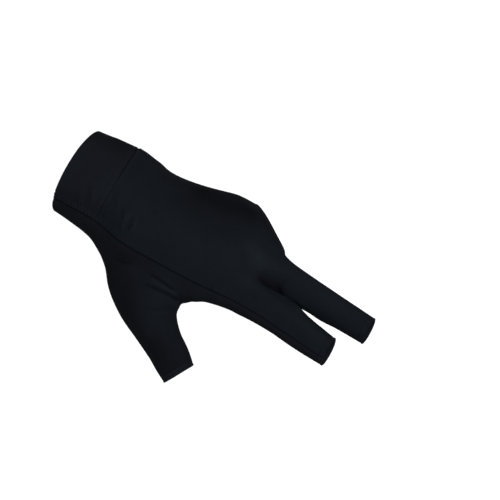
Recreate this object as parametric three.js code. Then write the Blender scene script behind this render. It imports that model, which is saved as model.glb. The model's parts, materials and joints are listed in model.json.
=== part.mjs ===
// A left-hand three-finger billiard glove, kept in the rounded form that it has on the hand.
// The frame: the origin is the middle of the wrist opening, +X runs to the fingertips, +Y to the
// little finger's side and +Z is up out of the back of the hand. All lengths are millimetres and
// all angles are degrees.
import * as THREE from "three";

// Sizes of the hand's part, over the outside of the cloth
const WRIST_WIDTH = 61;
const WRIST_DEPTH = 39;
const CUFF_LENGTH = 32;
const HAND_LENGTH = 148;
const HAND_WIDTH = 76;
const HAND_DEPTH = 32;
const MOUTH_SLANT = 0.06;
const CUFF_SLANT = 0.12;

// Sizes of the finger and thumb tubes. Each length runs to the edge of the hem.
const INDEX_LENGTH = 50;
const INDEX_WIDTH = 23;
const INDEX_END_WIDTH = 18.2;
const MIDDLE_LENGTH = 64;
const MIDDLE_WIDTH = 21.4;
const MIDDLE_END_WIDTH = 17.2;
const THUMB_LENGTH = 59.5;
const THUMB_WIDTH = 27.4;
const THUMB_END_WIDTH = 21;
const FINGER_SPREAD = 3.4;

// The slanting opening that leaves the ring and little fingers bare
const OPENING_RUN = 39;

// The cloth
const CLOTH = 1;
const CUFF_CLOTH = 1.8;
const CUFF_RAISE = 0.4;
const SEAM_GAP = 0.3;
const HEM_WIDTH = 3;
const OPENING_HEM_WIDTH = 2.2;
const HEM_CLOTH = 1.9;
const HEM_RAISE = 0.5;
const HEM_ROUNDING = 0.2;

const SMOOTHING_STEPS = 2;

// Colours of the cloth, near-black and slightly blue
const BACK_COLOUR = 0x15171c;
const PALM_COLOUR = 0x14161a;
const CUFF_COLOUR = 0x16181d;
const HEM_COLOUR = 0x191b20;

const vec = (x, y, z) => new THREE.Vector3(x, y, z);
const radians = (degrees) => (degrees * Math.PI) / 180;
const mix = (a, b, share) => a + (b - a) * share;

// A smoothed ring of n control points is smaller than the ring by this much.
const spread = (n) => 6 / (4 + 2 * Math.cos((2 * Math.PI) / n));

// The names of the lines of control points that run along the hand, from the main seam over the
// back to the little finger's edge, and back under the palm to the thumb's side
const BACK_LINES = ["D0", "D1", "D2", "D3", "D4", "D5", "D6"];
const PALM_LINES = ["P6", "P5", "P4", "P3", "P2", "P1"];
const HAND_LINES = [...BACK_LINES, "U", ...PALM_LINES, "R2", "R1"];

// Angles round the hand of the lines whose place the main seam doesn't change, and of the two
// ends between which the seam's neighbours are spread: the middle of the back and the palm's side
const LINE_ANGLES = {
  ...{ D4: 66, D5: 44, D6: 22, U: 0 },
  ...{ P6: -22, P5: -44, P4: -66, P3: -90, P2: -114, P1: -138 },
};
const SPREAD_ANGLES = { backMiddle: 88, palmSide: 222 };

// Cross-sections of the hand from the wrist edge to the knuckles. y and z place the middle, top
// and bottom are the heights above and below it, seam is the angle of the main seam, slant leans
// the section, bow carries the middle of the back forwards and lag holds the little finger's side
// back.
const handSections = [
  {
    at: 0,
    y: 0,
    z: 0,
    wide: WRIST_WIDTH,
    top: 0.5 * WRIST_DEPTH,
    bottom: 0.5 * WRIST_DEPTH,
    seam: 157,
    slant: MOUTH_SLANT,
    bow: 0,
    lag: 0,
  },
  {
    at: CUFF_LENGTH,
    y: -0.01 * WRIST_WIDTH,
    z: 0,
    wide: 1.11 * WRIST_WIDTH,
    top: 0.48 * WRIST_DEPTH,
    bottom: 0.48 * WRIST_DEPTH,
    seam: 144,
    slant: CUFF_SLANT,
    bow: 0.14 * CUFF_LENGTH,
    lag: 0,
  },
  {
    at: mix(CUFF_LENGTH, HAND_LENGTH, 0.18),
    y: -0.115 * HAND_WIDTH,
    z: 0,
    wide: 0.97 * HAND_WIDTH,
    top: 0.54 * HAND_DEPTH,
    bottom: 0.52 * HAND_DEPTH,
    seam: 134,
    slant: 0.05,
    bow: 0,
    lag: 0.06 * OPENING_RUN,
  },
  {
    at: mix(CUFF_LENGTH, HAND_LENGTH, 0.4),
    y: -0.07 * HAND_WIDTH,
    z: 0,
    wide: 0.92 * HAND_WIDTH,
    top: 0.52 * HAND_DEPTH,
    bottom: 0.52 * HAND_DEPTH,
    seam: 143,
    slant: 0,
    bow: 0,
    lag: 0.3 * OPENING_RUN,
  },
  {
    at: mix(CUFF_LENGTH, HAND_LENGTH, 0.65),
    y: -0.04 * HAND_WIDTH,
    z: 0.02 * HAND_DEPTH,
    wide: 0.98 * HAND_WIDTH,
    top: 0.5 * HAND_DEPTH,
    bottom: 0.48 * HAND_DEPTH,
    seam: 146,
    slant: 0,
    bow: 0,
    lag: 0.55 * OPENING_RUN,
  },
  {
    at: mix(CUFF_LENGTH, HAND_LENGTH, 0.82),
    y: 0.01 * HAND_WIDTH,
    z: 0.05 * HAND_DEPTH,
    wide: 0.94 * HAND_WIDTH,
    top: 0.5 * HAND_DEPTH,
    bottom: 0.44 * HAND_DEPTH,
    seam: 156,
    slant: 0,
    bow: 0,
    lag: 0.8 * OPENING_RUN,
  },
];

// The finger tubes: lines that run on into each, y at the web and at the open end, and how far the
// end drops. A tube's lines lie an eighth of a turn apart, but the index finger's first line is
// the main seam, which lies lower on its side.
const TUBE_LINES = 8;
const TUBE_ANGLES = { start: 140, seam: 155 };
const TUBE_HEIGHT = 0.04 * HAND_DEPTH;
const MIDDLE_Y = 0.01 * HAND_WIDTH;
const INDEX_Y = MIDDLE_Y - 0.485 * (INDEX_WIDTH + MIDDLE_WIDTH);
const fingers = {
  index: {
    lines: ["D0", "D1", "D2", "W1", "P2", "P1", "R2", "R1"],
    length: INDEX_LENGTH - HEM_WIDTH - SEAM_GAP,
    width: INDEX_WIDTH,
    endWidth: INDEX_END_WIDTH,
    y: INDEX_Y,
    endY: INDEX_Y - 0.04 * INDEX_WIDTH - FINGER_SPREAD,
    drop: 0.13 * INDEX_LENGTH,
    steps: 2,
  },
  middle: {
    lines: ["D2", "D3", "D4", "W2", "P4", "P3", "P2", "W1"],
    length: MIDDLE_LENGTH - HEM_WIDTH - SEAM_GAP,
    width: MIDDLE_WIDTH,
    endWidth: MIDDLE_END_WIDTH,
    y: MIDDLE_Y,
    endY: MIDDLE_Y - 0.09 * MIDDLE_WIDTH,
    drop: 0.1 * MIDDLE_LENGTH,
    steps: 3,
  },
};

// The web, where the hand parts into the finger tubes and the opening: how high the fork's top and
// bottom lie and how far its middle and the middle finger's side reach forwards, and how thick,
// how round and how bent the opening's edge is
const web = {
  forkTop: 0.22 * HAND_DEPTH,
  forkBottom: -0.26 * HAND_DEPTH,
  forkReach: 0.087 * INDEX_WIDTH,
  sideReach: 0.12 * MIDDLE_WIDTH,
  openHeight: 0.42 * HAND_DEPTH,
  openRoundness: 1.5,
  openBend: 1.08,
};

// Cross-sections of the thumb tube, as shares of its length and width: along, aside and down are
// its middle's way from the thumb's root, heading and dip are where the tube points there
const thumbSections = [
  { along: 0.03, aside: 0.21, down: 0.12, wide: 1.5, thick: 1.16, heading: -52, dip: -14 },
  { along: 0.26, aside: 0.37, down: 0.24, wide: 1, thick: 1, heading: -38, dip: -18 },
  { along: 0.66, aside: 0.59, down: 0.4, wide: 0.75, thick: 0.75, heading: -25, dip: -20 },
];

// Soft folds of the form: a ridge, or a hollow where its height is negative, along the line
// between two places. Places are shares of the hand's length, width and depth, widths are shares
// of the hand's width and heights of its depth.
const folds = [
  { name: "puff by the cuff", from: [0.23, 0.4, 0.2], to: [0.29, 0.37, 0.15], width: 0.08, height: 0.04 },
  { name: "middle knuckle", from: [0.87, -0.02, 0.5], to: [0.9, -0.02, 0.5], width: 0.12, height: 0.045 },
  { name: "index knuckle", from: [0.84, -0.24, 0.45], to: [0.86, -0.25, 0.45], width: 0.1, height: 0.02 },
  { name: "fork's hollow", from: [0.94, -0.14, 0.3], to: [1, -0.13, 0.2], width: 0.08, height: -0.05 },
  { name: "thumb's root", from: [0.3, -0.5, -0.25], to: [0.4, -0.66, -0.38], width: 0.13, height: 0.075 },
  { name: "thumb's web", from: [0.68, -0.53, -0.25], to: [0.71, -0.52, -0.25], width: 0.065, height: 0.06 },
  { name: "thumb's fold", from: [0.58, -0.5, 0.15], to: [0.7, -0.56, 0], width: 0.065, height: 0.03 },
];

// The control net: named points, and four-sided faces that each belong to one piece of cloth
const net = { points: [], names: new Map(), faces: [] };

function point(name, place) {
  net.names.set(name, net.points.length);
  net.points.push(place);
}

function face(names, piece) {
  const corners = names.map((name) => {
    if (!net.names.has(name)) throw new Error("no control point " + name);
    return net.names.get(name);
  });
  net.faces.push({ corners, piece });
}

const placeOf = (name) => net.points[net.names.get(name)];

// The angle of each line of control points round a cross-section of the hand
function lineAngles(seam) {
  const angles = { ...LINE_ANGLES };
  const { backMiddle, palmSide } = SPREAD_ANGLES;
  BACK_LINES.slice(0, 4).forEach((line, i) => (angles[line] = mix(seam, backMiddle, i / 3)));
  angles.R1 = mix(seam, palmSide, 1 / 3);
  angles.R2 = mix(seam, palmSide, 2 / 3);
  return angles;
}

// How far towards the little finger's side a place is, from 0 to 1, past the middle finger
const pastMiddle = (y) => Math.max(0, (y - MIDDLE_WIDTH / 2) / (HAND_WIDTH / 2 - MIDDLE_WIDTH / 2));

function addHandSections() {
  const size = spread(HAND_LINES.length);
  handSections.forEach((section, row) => {
    const angles = lineAngles(section.seam);
    HAND_LINES.forEach((line) => {
      const angle = radians(angles[line]);
      const height = Math.sin(angle) > 0 ? section.top : section.bottom;
      const y = section.y + (size * section.wide * Math.cos(angle)) / 2;
      const z = section.z + size * height * Math.sin(angle);
      const bow = section.bow * Math.max(0, Math.sin(angle)) ** 2;
      const x = section.at + bow - section.slant * y - section.lag * pastMiddle(y);
      point(line + row, vec(x, y, z));
    });
  });
}

// One control point of a finger tube, so many eighths of a turn round from the seam's line
function fingerPoint(finger, share, turn) {
  const width = mix(finger.width, finger.endWidth, share);
  const onSeam = finger.lines[turn] === "D0";
  const angle = radians(onSeam ? TUBE_ANGLES.seam : TUBE_ANGLES.start - (360 / TUBE_LINES) * turn);
  const radius = (spread(TUBE_LINES) * width) / 2;
  return vec(
    HAND_LENGTH + finger.length * share,
    mix(finger.y, finger.endY, share) + radius * Math.cos(angle),
    TUBE_HEIGHT - finger.drop * share + radius * Math.sin(angle),
  );
}

// The row at the web, where the hand parts into the two finger tubes and the open side
function addWebRow(row) {
  const { index, middle } = fingers;
  ["D0", "D1", "P1", "R2", "R1"].forEach((line) => {
    point(line + row, fingerPoint(index, 0, index.lines.indexOf(line)));
  });
  ["D3", "D4", "W2", "P4", "P3"].forEach((line) => {
    point(line + row, fingerPoint(middle, 0, middle.lines.indexOf(line)));
  });
  placeOf("W2" + row).x += web.sideReach;
  const between = mix(index.y + index.width / 2, middle.y - middle.width / 2, 0.5);
  point("D2" + row, vec(HAND_LENGTH, between, web.forkTop));
  point("W1" + row, vec(HAND_LENGTH + web.forkReach, between, 0));
  point("P2" + row, vec(HAND_LENGTH, between, web.forkBottom));
  const edge = HAND_LENGTH - OPENING_HEM_WIDTH - SEAM_GAP;
  ["D5", "D6", "U", "P6", "P5"].forEach((line) => {
    const angle = radians(LINE_ANGLES[line]);
    const roundness = Math.cos(angle) ** web.openRoundness;
    const y = mix(middle.y + middle.width / 2, HAND_WIDTH / 2, roundness);
    const z = web.openHeight * Math.sin(angle);
    point(line + row, vec(edge - OPENING_RUN * pastMiddle(y) ** web.openBend, y, z));
  });
}

// Which piece of cloth lies between two neighbouring lines of control points
function pieceOf(line, next) {
  const side = ["R1D0", "R2R1", "P1R2", "D0R1", "R1R2", "R2P1"];
  if (side.includes(line + next)) return "thumb_panel";
  const back = [...BACK_LINES, "U"];
  if (back.includes(line) && back.includes(next)) return "back_panel";
  if (back.includes(line) && ["W1", "W2"].includes(next)) return "back_panel";
  if (back.includes(next) && ["W1", "W2"].includes(line)) return "back_panel";
  return "palm_panel";
}

// The faces between two rings of control points. Both rings run from the back of the hand round
// by the little finger's side, and the second lies nearer the fingertips.
function addBand(near, far, pieces) {
  near.forEach((name, i) => {
    const after = (i + 1) % near.length;
    if (pieces[i]) face([name, far[i], far[after], near[after]], pieces[i]);
  });
}

function addHandFaces() {
  handSections.forEach((section, row) => {
    const near = HAND_LINES.map((line) => line + row);
    const far = HAND_LINES.map((line) => line + (row + 1));
    const pieces = HAND_LINES.map((line, i) => {
      const next = HAND_LINES[(i + 1) % HAND_LINES.length];
      const piece = pieceOf(line, next);
      const thumbRoot = (row === 2 || row === 3) && (next === "R2" || next === "R1");
      if (thumbRoot && line !== "R1") return null;
      return piece === "back_panel" && row === 0 ? "cuff_band" : piece;
    });
    addBand(near, far, pieces);
  });
}

function addFinger(name, row) {
  const finger = fingers[name];
  const pieces = finger.lines.map((line, i) => pieceOf(line, finger.lines[(i + 1) % TUBE_LINES]));
  let near = finger.lines.map((line) => line + row);
  for (let step = 1; step <= finger.steps; step++) {
    const far = finger.lines.map((line) => name + line + step);
    far.forEach((id, i) => point(id, fingerPoint(finger, step / finger.steps, i)));
    addBand(near, far, pieces);
    near = far;
  }
}

function addThumb() {
  let near = ["R13", "R14", "R24", "P14", "P13", "P12", "R22", "R12"];
  const root = near.reduce((sum, name) => sum.add(placeOf(name)), vec(0, 0, 0));
  root.divideScalar(near.length);
  thumbSections.forEach((section, step) => {
    const heading = radians(section.heading);
    const dip = radians(section.dip);
    const axis = vec(
      Math.cos(dip) * Math.cos(heading),
      Math.cos(dip) * Math.sin(heading),
      Math.sin(dip),
    );
    const up = vec(0, 0, 1).addScaledVector(axis, -axis.z).normalize();
    const inward = up.clone().cross(axis);
    const middle = root.clone();
    middle.x += section.along * THUMB_LENGTH;
    middle.y -= section.aside * THUMB_LENGTH;
    middle.z -= section.down * THUMB_LENGTH;
    const last = step === thumbSections.length - 1;
    const size = last ? THUMB_END_WIDTH / section.wide : THUMB_WIDTH;
    const far = near.map((name, i) => "thumb" + i + "_" + step);
    far.forEach((name, i) => {
      const angle = radians(90 - (360 / TUBE_LINES) * i);
      const radius = (spread(TUBE_LINES) * size) / 2;
      const place = middle.clone();
      place.addScaledVector(inward, radius * section.wide * Math.cos(angle));
      place.addScaledVector(up, radius * section.thick * Math.sin(angle));
      point(name, place);
    });
    addBand(near, far, Array(TUBE_LINES).fill("thumb_panel"));
    near = far;
  });
}

// The edges of a mesh, each with its two ends and the faces that meet there
function edgesOf(faces) {
  const edges = new Map();
  faces.forEach((f, index) => {
    f.corners.forEach((a, i) => {
      const b = f.corners[(i + 1) % 4];
      const key = Math.min(a, b) + "_" + Math.max(a, b);
      if (!edges.has(key)) edges.set(key, { a, b, faces: [] });
      edges.get(key).faces.push(index);
    });
  });
  return edges;
}

const middleOf = (places) => {
  const sum = vec(0, 0, 0);
  places.forEach((p) => sum.add(p));
  return sum.divideScalar(places.length);
};

// One step of Catmull-Clark smoothing, which makes four faces of each
function smooth(points, faces) {
  const edges = edgesOf(faces);
  const next = points.map(() => null);
  const around = points.map(() => ({ faces: [], edges: [], rim: [] }));
  const faceIndex = faces.map((f) => {
    const place = middleOf(f.corners.map((c) => points[c]));
    f.corners.forEach((c) => around[c].faces.push(place));
    return next.push(place) - 1;
  });
  const edgeIndex = new Map();
  edges.forEach((edge, key) => {
    const ends = [points[edge.a], points[edge.b]];
    const half = middleOf(ends);
    const rim = edge.faces.length === 1;
    const place = rim ? half : middleOf([...ends, ...edge.faces.map((f) => next[faceIndex[f]])]);
    edgeIndex.set(key, next.push(place) - 1);
    [edge.a, edge.b].forEach((end) => {
      around[end].edges.push(half);
      if (rim) around[end].rim.push(half);
    });
  });
  points.forEach((p, i) => {
    const n = around[i].edges.length;
    if (around[i].rim.length) {
      next[i] = p.clone().multiplyScalar(0.5).addScaledVector(middleOf(around[i].rim), 0.5);
    } else {
      next[i] = middleOf(around[i].faces)
        .addScaledVector(middleOf(around[i].edges), 2)
        .addScaledVector(p, n - 3)
        .divideScalar(n);
    }
  });
  const made = [];
  faces.forEach((f, index) => {
    const at = (a, b) => edgeIndex.get(Math.min(a, b) + "_" + Math.max(a, b));
    f.corners.forEach((c, i) => {
      const after = f.corners[(i + 1) % 4];
      const before = f.corners[(i + 3) % 4];
      const corners = [c, at(c, after), faceIndex[index], at(before, c)];
      made.push({ corners, piece: f.piece });
    });
  });
  return { points: next, faces: made };
}

// Moves each point to where endless smoothing would take it
function settle(points, faces) {
  const edges = edgesOf(faces);
  const around = points.map(() => ({ near: [], across: [], rim: [] }));
  edges.forEach((edge) => {
    around[edge.a].near.push(points[edge.b]);
    around[edge.b].near.push(points[edge.a]);
    if (edge.faces.length > 1) return;
    around[edge.a].rim.push(points[edge.b]);
    around[edge.b].rim.push(points[edge.a]);
  });
  faces.forEach((f) => {
    f.corners.forEach((c, i) => around[c].across.push(points[f.corners[(i + 2) % 4]]));
  });
  return points.map((p, i) => {
    const { near, across, rim } = around[i];
    if (rim.length) return p.clone().multiplyScalar(2 / 3).addScaledVector(middleOf(rim), 1 / 3);
    const n = near.length;
    const sum = p.clone().multiplyScalar(n * n);
    near.forEach((q) => sum.addScaledVector(q, 4));
    across.forEach((q) => sum.add(q));
    return sum.divideScalar(n * (n + 5));
  });
}

// How far the folds lift a place off the form
function foldHeight(place) {
  const size = vec(HAND_LENGTH, HAND_WIDTH, HAND_DEPTH);
  return folds.reduce((sum, fold) => {
    const line = new THREE.Line3(vec(...fold.from).multiply(size), vec(...fold.to).multiply(size));
    const away = line.closestPointToPoint(place, true, vec(0, 0, 0)).distanceTo(place);
    const share = away / (fold.width * HAND_WIDTH);
    return sum + fold.height * HAND_DEPTH * Math.exp(-share * share);
  }, 0);
}

function normalsOf(points, faces) {
  const normals = points.map(() => vec(0, 0, 0));
  faces.forEach(({ corners: [a, b, c, d] }) => {
    const across = points[c].clone().sub(points[a]);
    const normal = across.cross(points[d].clone().sub(points[b]));
    [a, b, c, d].forEach((i) => normals[i].add(normal));
  });
  return normals.map((n) => n.normalize());
}

// A closed mesh under construction
class Solid {
  constructor() {
    this.places = [];
    this.triangles = [];
  }

  add(place) {
    return this.places.push(place) - 1;
  }

  quad(a, b, c, d) {
    const short = this.places[a].distanceTo(this.places[c]) < this.places[b].distanceTo(this.places[d]);
    this.triangles.push(...(short ? [a, b, c, a, c, d] : [a, b, d, b, c, d]));
  }

  // A mesh whose own origin is the middle of its box
  mesh(name, colour) {
    const geometry = new THREE.BufferGeometry().setFromPoints(this.places);
    geometry.setIndex(this.triangles);
    geometry.computeBoundingBox();
    const middle = geometry.boundingBox.getCenter(vec(0, 0, 0));
    geometry.translate(-middle.x, -middle.y, -middle.z);
    geometry.computeVertexNormals();
    const material = new THREE.MeshStandardMaterial({ color: colour, roughness: 0.85, metalness: 0 });
    const mesh = new THREE.Mesh(geometry, material);
    mesh.name = name;
    mesh.position.copy(middle);
    return mesh;
  }
}

// A piece of cloth as a closed wall: its outside is lifted off the form by raise, and it keeps
// half a seam gap from each piece that it is sewn to.
function clothWall(form, piece, thickness, raise) {
  const own = form.faces.filter((f) => f.piece === piece);
  const directed = new Map();
  own.forEach((f) => {
    f.corners.forEach((a, i) => {
      const b = f.corners[(i + 1) % 4];
      directed.set(a + "_" + b, [a, b]);
    });
  });
  const border = [...directed.values()].filter(([a, b]) => !directed.has(b + "_" + a));
  const inset = new Map();
  border.forEach(([a, b]) => {
    const key = Math.min(a, b) + "_" + Math.max(a, b);
    if (form.edges.get(key).faces.length === 1) return;
    const along = form.points[b].clone().sub(form.points[a]).normalize();
    [a, b].forEach((i) => {
      const inward = form.normals[i].clone().cross(along).normalize();
      if (!inset.has(i)) inset.set(i, []);
      inset.get(i).push(inward);
    });
  });
  const solid = new Solid();
  const outside = new Map();
  const inside = new Map();
  own.forEach((f) => {
    f.corners.forEach((i) => {
      if (outside.has(i)) return;
      const place = form.points[i].clone();
      const ways = inset.get(i) || [];
      if (ways.length) {
        const way = middleOf(ways);
        place.addScaledVector(way, SEAM_GAP / 2 / way.lengthSq());
      }
      const normal = form.normals[i];
      outside.set(i, solid.add(place.clone().addScaledVector(normal, raise)));
      inside.set(i, solid.add(place.addScaledVector(normal, raise - thickness)));
    });
  });
  own.forEach(({ corners: [a, b, c, d] }) => {
    solid.quad(outside.get(a), outside.get(b), outside.get(c), outside.get(d));
    solid.quad(inside.get(d), inside.get(c), inside.get(b), inside.get(a));
  });
  border.forEach(([a, b]) => {
    solid.quad(outside.get(b), outside.get(a), inside.get(a), inside.get(b));
  });
  return solid;
}

// The open edge of the form that passes through a control point, as a closed run of points
function openEdge(form, start) {
  const next = new Map();
  form.faces.forEach((f) => {
    f.corners.forEach((a, i) => {
      const b = f.corners[(i + 1) % 4];
      const key = Math.min(a, b) + "_" + Math.max(a, b);
      if (form.edges.get(key).faces.length === 1) next.set(a, b);
    });
  });
  const first = net.names.get(start);
  const run = [first];
  while (next.get(run[run.length - 1]) !== first) run.push(next.get(run[run.length - 1]));
  return run;
}

// A hem: a folded band of cloth that follows an open edge, a seam gap beyond it
function hem(form, start, width) {
  const run = openEdge(form, start);
  const low = HEM_RAISE - HEM_CLOTH;
  const profile = [
    [low, SEAM_GAP],
    [HEM_RAISE - HEM_ROUNDING, SEAM_GAP],
    [HEM_RAISE, SEAM_GAP + 0.4 * width],
    [HEM_RAISE - HEM_ROUNDING, SEAM_GAP + width],
    [low, SEAM_GAP + width],
  ];
  const solid = new Solid();
  const rings = run.map((i, k) => {
    const before = form.points[run[(k + run.length - 1) % run.length]];
    const after = form.points[run[(k + 1) % run.length]];
    const along = after.clone().sub(before).normalize();
    const normal = form.normals[i];
    const outward = along.clone().cross(normal).normalize();
    return profile.map(([height, reach]) => {
      const place = form.points[i].clone();
      place.addScaledVector(normal, height);
      return solid.add(place.addScaledVector(outward, reach));
    });
  });
  rings.forEach((ring, k) => {
    const other = rings[(k + 1) % rings.length];
    ring.forEach((a, i) => {
      const j = (i + 1) % ring.length;
      solid.quad(ring[j], other[j], other[i], a);
    });
  });
  return solid;
}

addHandSections();
const webRow = handSections.length;
addWebRow(webRow);
addHandFaces();
addFinger("index", webRow);
addFinger("middle", webRow);
addThumb();

let form = { points: net.points, faces: net.faces };
for (let step = 0; step < SMOOTHING_STEPS; step++) form = smooth(form.points, form.faces);
form.points = settle(form.points, form.faces);
form.edges = edgesOf(form.faces);
form.normals = normalsOf(form.points, form.faces);
form.points.forEach((place, i) => place.addScaledVector(form.normals[i], foldHeight(place)));
form.normals = normalsOf(form.points, form.faces);

const panels = new THREE.Group();
panels.name = "panels";
panels.add(clothWall(form, "back_panel", CLOTH, 0).mesh("back_panel", BACK_COLOUR));
panels.add(clothWall(form, "palm_panel", CLOTH, 0).mesh("palm_panel", PALM_COLOUR));
panels.add(clothWall(form, "thumb_panel", CLOTH, 0).mesh("thumb_panel", PALM_COLOUR));
panels.add(clothWall(form, "cuff_band", CUFF_CLOTH, CUFF_RAISE).mesh("cuff_band", CUFF_COLOUR));

const hems = new THREE.Group();
hems.name = "hems";
const lastThumb = "thumb0_" + (thumbSections.length - 1);
const lastIndex = "indexD0" + fingers.index.steps;
const lastMiddle = "middleD2" + fingers.middle.steps;
hems.add(hem(form, lastThumb, HEM_WIDTH).mesh("thumb_hem", HEM_COLOUR));
hems.add(hem(form, lastIndex, HEM_WIDTH).mesh("index_hem", HEM_COLOUR));
hems.add(hem(form, lastMiddle, HEM_WIDTH).mesh("middle_hem", HEM_COLOUR));
hems.add(hem(form, "U" + webRow, OPENING_HEM_WIDTH).mesh("opening_hem", HEM_COLOUR));

const glove = new THREE.Group();
glove.name = "billiard_glove";
glove.add(panels, hems);

export default glove;
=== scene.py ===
# %% [markdown]
# # A three-finger stretch glove
# The glove is sewn from four pieces of thin black stretch knit: the back, the palm, a side strip
# that runs on into the thumb, and a folded cuff. It has a thumb, an index finger and a middle
# finger, and beside them one slanting opening. Each open end has a narrow turned hem. Nothing on
# it is hard, so all of its character is in the stretched form, in the seams that pull it in, and
# in the way black cloth takes light.
#
# The measured model of the glove is loaded first. It fixes where the glove is and how big it is.
# Everything below is made around it, in metres, and then stands for its plain pieces.

# %% Load the fixed frame
import json
import math
from collections import namedtuple

import bmesh
import bpy
import numpy as np
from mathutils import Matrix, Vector, kdtree, noise
from mathutils.bvhtree import BVHTree

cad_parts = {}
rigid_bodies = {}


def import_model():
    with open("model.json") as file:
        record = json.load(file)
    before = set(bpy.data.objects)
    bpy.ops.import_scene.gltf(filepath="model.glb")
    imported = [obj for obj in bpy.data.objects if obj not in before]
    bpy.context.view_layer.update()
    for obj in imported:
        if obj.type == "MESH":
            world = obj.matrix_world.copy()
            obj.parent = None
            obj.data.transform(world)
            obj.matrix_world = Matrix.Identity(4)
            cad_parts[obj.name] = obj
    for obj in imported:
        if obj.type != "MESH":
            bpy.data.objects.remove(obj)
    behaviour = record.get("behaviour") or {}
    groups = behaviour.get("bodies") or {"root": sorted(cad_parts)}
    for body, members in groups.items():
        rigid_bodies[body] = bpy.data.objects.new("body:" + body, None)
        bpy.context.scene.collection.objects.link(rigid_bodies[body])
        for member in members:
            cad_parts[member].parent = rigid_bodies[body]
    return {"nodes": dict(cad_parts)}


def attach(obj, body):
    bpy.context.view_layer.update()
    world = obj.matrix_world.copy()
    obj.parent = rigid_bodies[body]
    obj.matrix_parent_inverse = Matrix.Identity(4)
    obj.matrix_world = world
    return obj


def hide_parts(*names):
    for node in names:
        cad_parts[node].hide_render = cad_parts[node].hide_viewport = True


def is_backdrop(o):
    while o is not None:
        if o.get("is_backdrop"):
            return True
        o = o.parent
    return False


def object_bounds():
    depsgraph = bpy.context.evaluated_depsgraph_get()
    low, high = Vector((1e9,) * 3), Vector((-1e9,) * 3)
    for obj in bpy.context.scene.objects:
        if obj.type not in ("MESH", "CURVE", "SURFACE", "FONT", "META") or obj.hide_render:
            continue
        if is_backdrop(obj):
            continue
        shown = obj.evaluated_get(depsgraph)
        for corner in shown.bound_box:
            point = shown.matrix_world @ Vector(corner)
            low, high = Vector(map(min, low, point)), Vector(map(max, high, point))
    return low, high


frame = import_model()
cad_low, cad_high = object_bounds()
MM = 0.001
print("glove box in mm:", [round(side / MM, 1) for side in cad_high - cad_low])

# %% [markdown]
# ## Camera
# The photograph looks down on the glove's back from in front of the thumb, through a long lens. A
# long lens keeps the cuff and the fingers' ends at nearly the same scale. The camera is set first,
# because the creases are placed by the pixel where the photograph shows them, and the same camera
# turns such a pixel into a ray.

# %% Camera
PHOTO_SIZE = 500
VIEW_AZIMUTH = math.radians(31)
VIEW_ELEVATION = math.radians(61)
VIEW_DISTANCE = 900 * MM
VIEW_TARGET = Vector((123.4, 7.4, 0)) * MM
SENSOR_WIDTH = 36
LENS = 105.3

view_back = Vector(
    (
        math.sin(VIEW_AZIMUTH) * math.cos(VIEW_ELEVATION),
        -math.cos(VIEW_AZIMUTH) * math.cos(VIEW_ELEVATION),
        math.sin(VIEW_ELEVATION),
    )
)
view_right = Vector((math.cos(VIEW_AZIMUTH), math.sin(VIEW_AZIMUTH), 0))
view_up = view_back.cross(view_right)

camera = bpy.data.objects.new("photo_camera", bpy.data.cameras.new("photo_camera"))
camera.data.lens = LENS
camera.data.sensor_width = SENSOR_WIDTH
camera.location = VIEW_TARGET + view_back * VIEW_DISTANCE
camera.rotation_euler = (-view_back).to_track_quat("-Z", "Y").to_euler()
bpy.context.scene.collection.objects.link(camera)
bpy.context.scene.camera = camera
print("camera at", [round(value, 3) for value in camera.location])

# %% [markdown]
# ## Sizes
# These are the sizes of the measured model, in millimetres, over the outside of the cloth. The
# fine form below is worked out from them, so it lies exactly where the plain pieces lie.

# %% Sizes
WRIST_WIDTH = 61
WRIST_DEPTH = 39
CUFF_LENGTH = 32
BODY_LENGTH = 148
BODY_WIDTH = 76
BODY_DEPTH = 32
INDEX_LENGTH = 50
INDEX_WIDTH = 23
INDEX_END_WIDTH = 18.2
MIDDLE_LENGTH = 64
MIDDLE_WIDTH = 21.4
MIDDLE_END_WIDTH = 17.2
THUMB_LENGTH = 59.5
THUMB_WIDTH = 27.4
THUMB_END_WIDTH = 21
FINGER_SPREAD = 3.4
OPENING_RUN = 39
CLOTH = 1
CUFF_CLOTH = 1.8
CUFF_RAISE = 0.4
SEAM_GAP = 0.14
HEM_START = 0.3
HEM_WIDTH = 3
OPENING_HEM_WIDTH = 2.2
print("body:", BODY_LENGTH, "mm long,", BODY_WIDTH, "mm wide and", BODY_DEPTH, "mm deep")


def mix(a, b, share):
    """The value a share of the way from a to b."""
    return a + (b - a) * share


# %% [markdown]
# ## The form
# A glove is a tube that branches. It could be sculpted from a block, but then its cloth would have
# no direction. Here it grows the way a sock is knitted: one ring of points at the cuff's mouth is
# extruded section by section along the glove's body, and new rings branch off for the fingers and
# the thumb. A subdivision surface then rounds the coarse cage.
#
# The sixteen lines of points that run along the body have names. D0 is the main seam, D1 to D6
# cross the back, U is the outer edge, away from the thumb, P6 to P1 cross the palm, and R2 and R1
# are the strip below the main seam.

# %% Lines along the body
CLOTHS = ["back_panel", "palm_panel", "thumb_panel", "cuff_band"]
BACK_LINES = ["D0", "D1", "D2", "D3", "D4", "D5", "D6"]
LINE_ANGLES = {
    **{"D4": 66, "D5": 44, "D6": 22, "U": 0},
    **{"P6": -22, "P5": -44, "P4": -66, "P3": -90, "P2": -114, "P1": -138},
}
BACK_MIDDLE_ANGLE = 88
PALM_SIDE_ANGLE = 222


def line_angles(seam_angle):
    """The angle of each line round a section of the body, in order from the main seam."""
    angles = {f"D{step}": mix(seam_angle, BACK_MIDDLE_ANGLE, step / 3) for step in range(4)}
    angles.update(LINE_ANGLES)
    angles["R2"] = mix(seam_angle, PALM_SIDE_ANGLE, 2 / 3)
    angles["R1"] = mix(seam_angle, PALM_SIDE_ANGLE, 1 / 3)
    return angles


BODY_LINES = list(line_angles(0))


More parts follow.
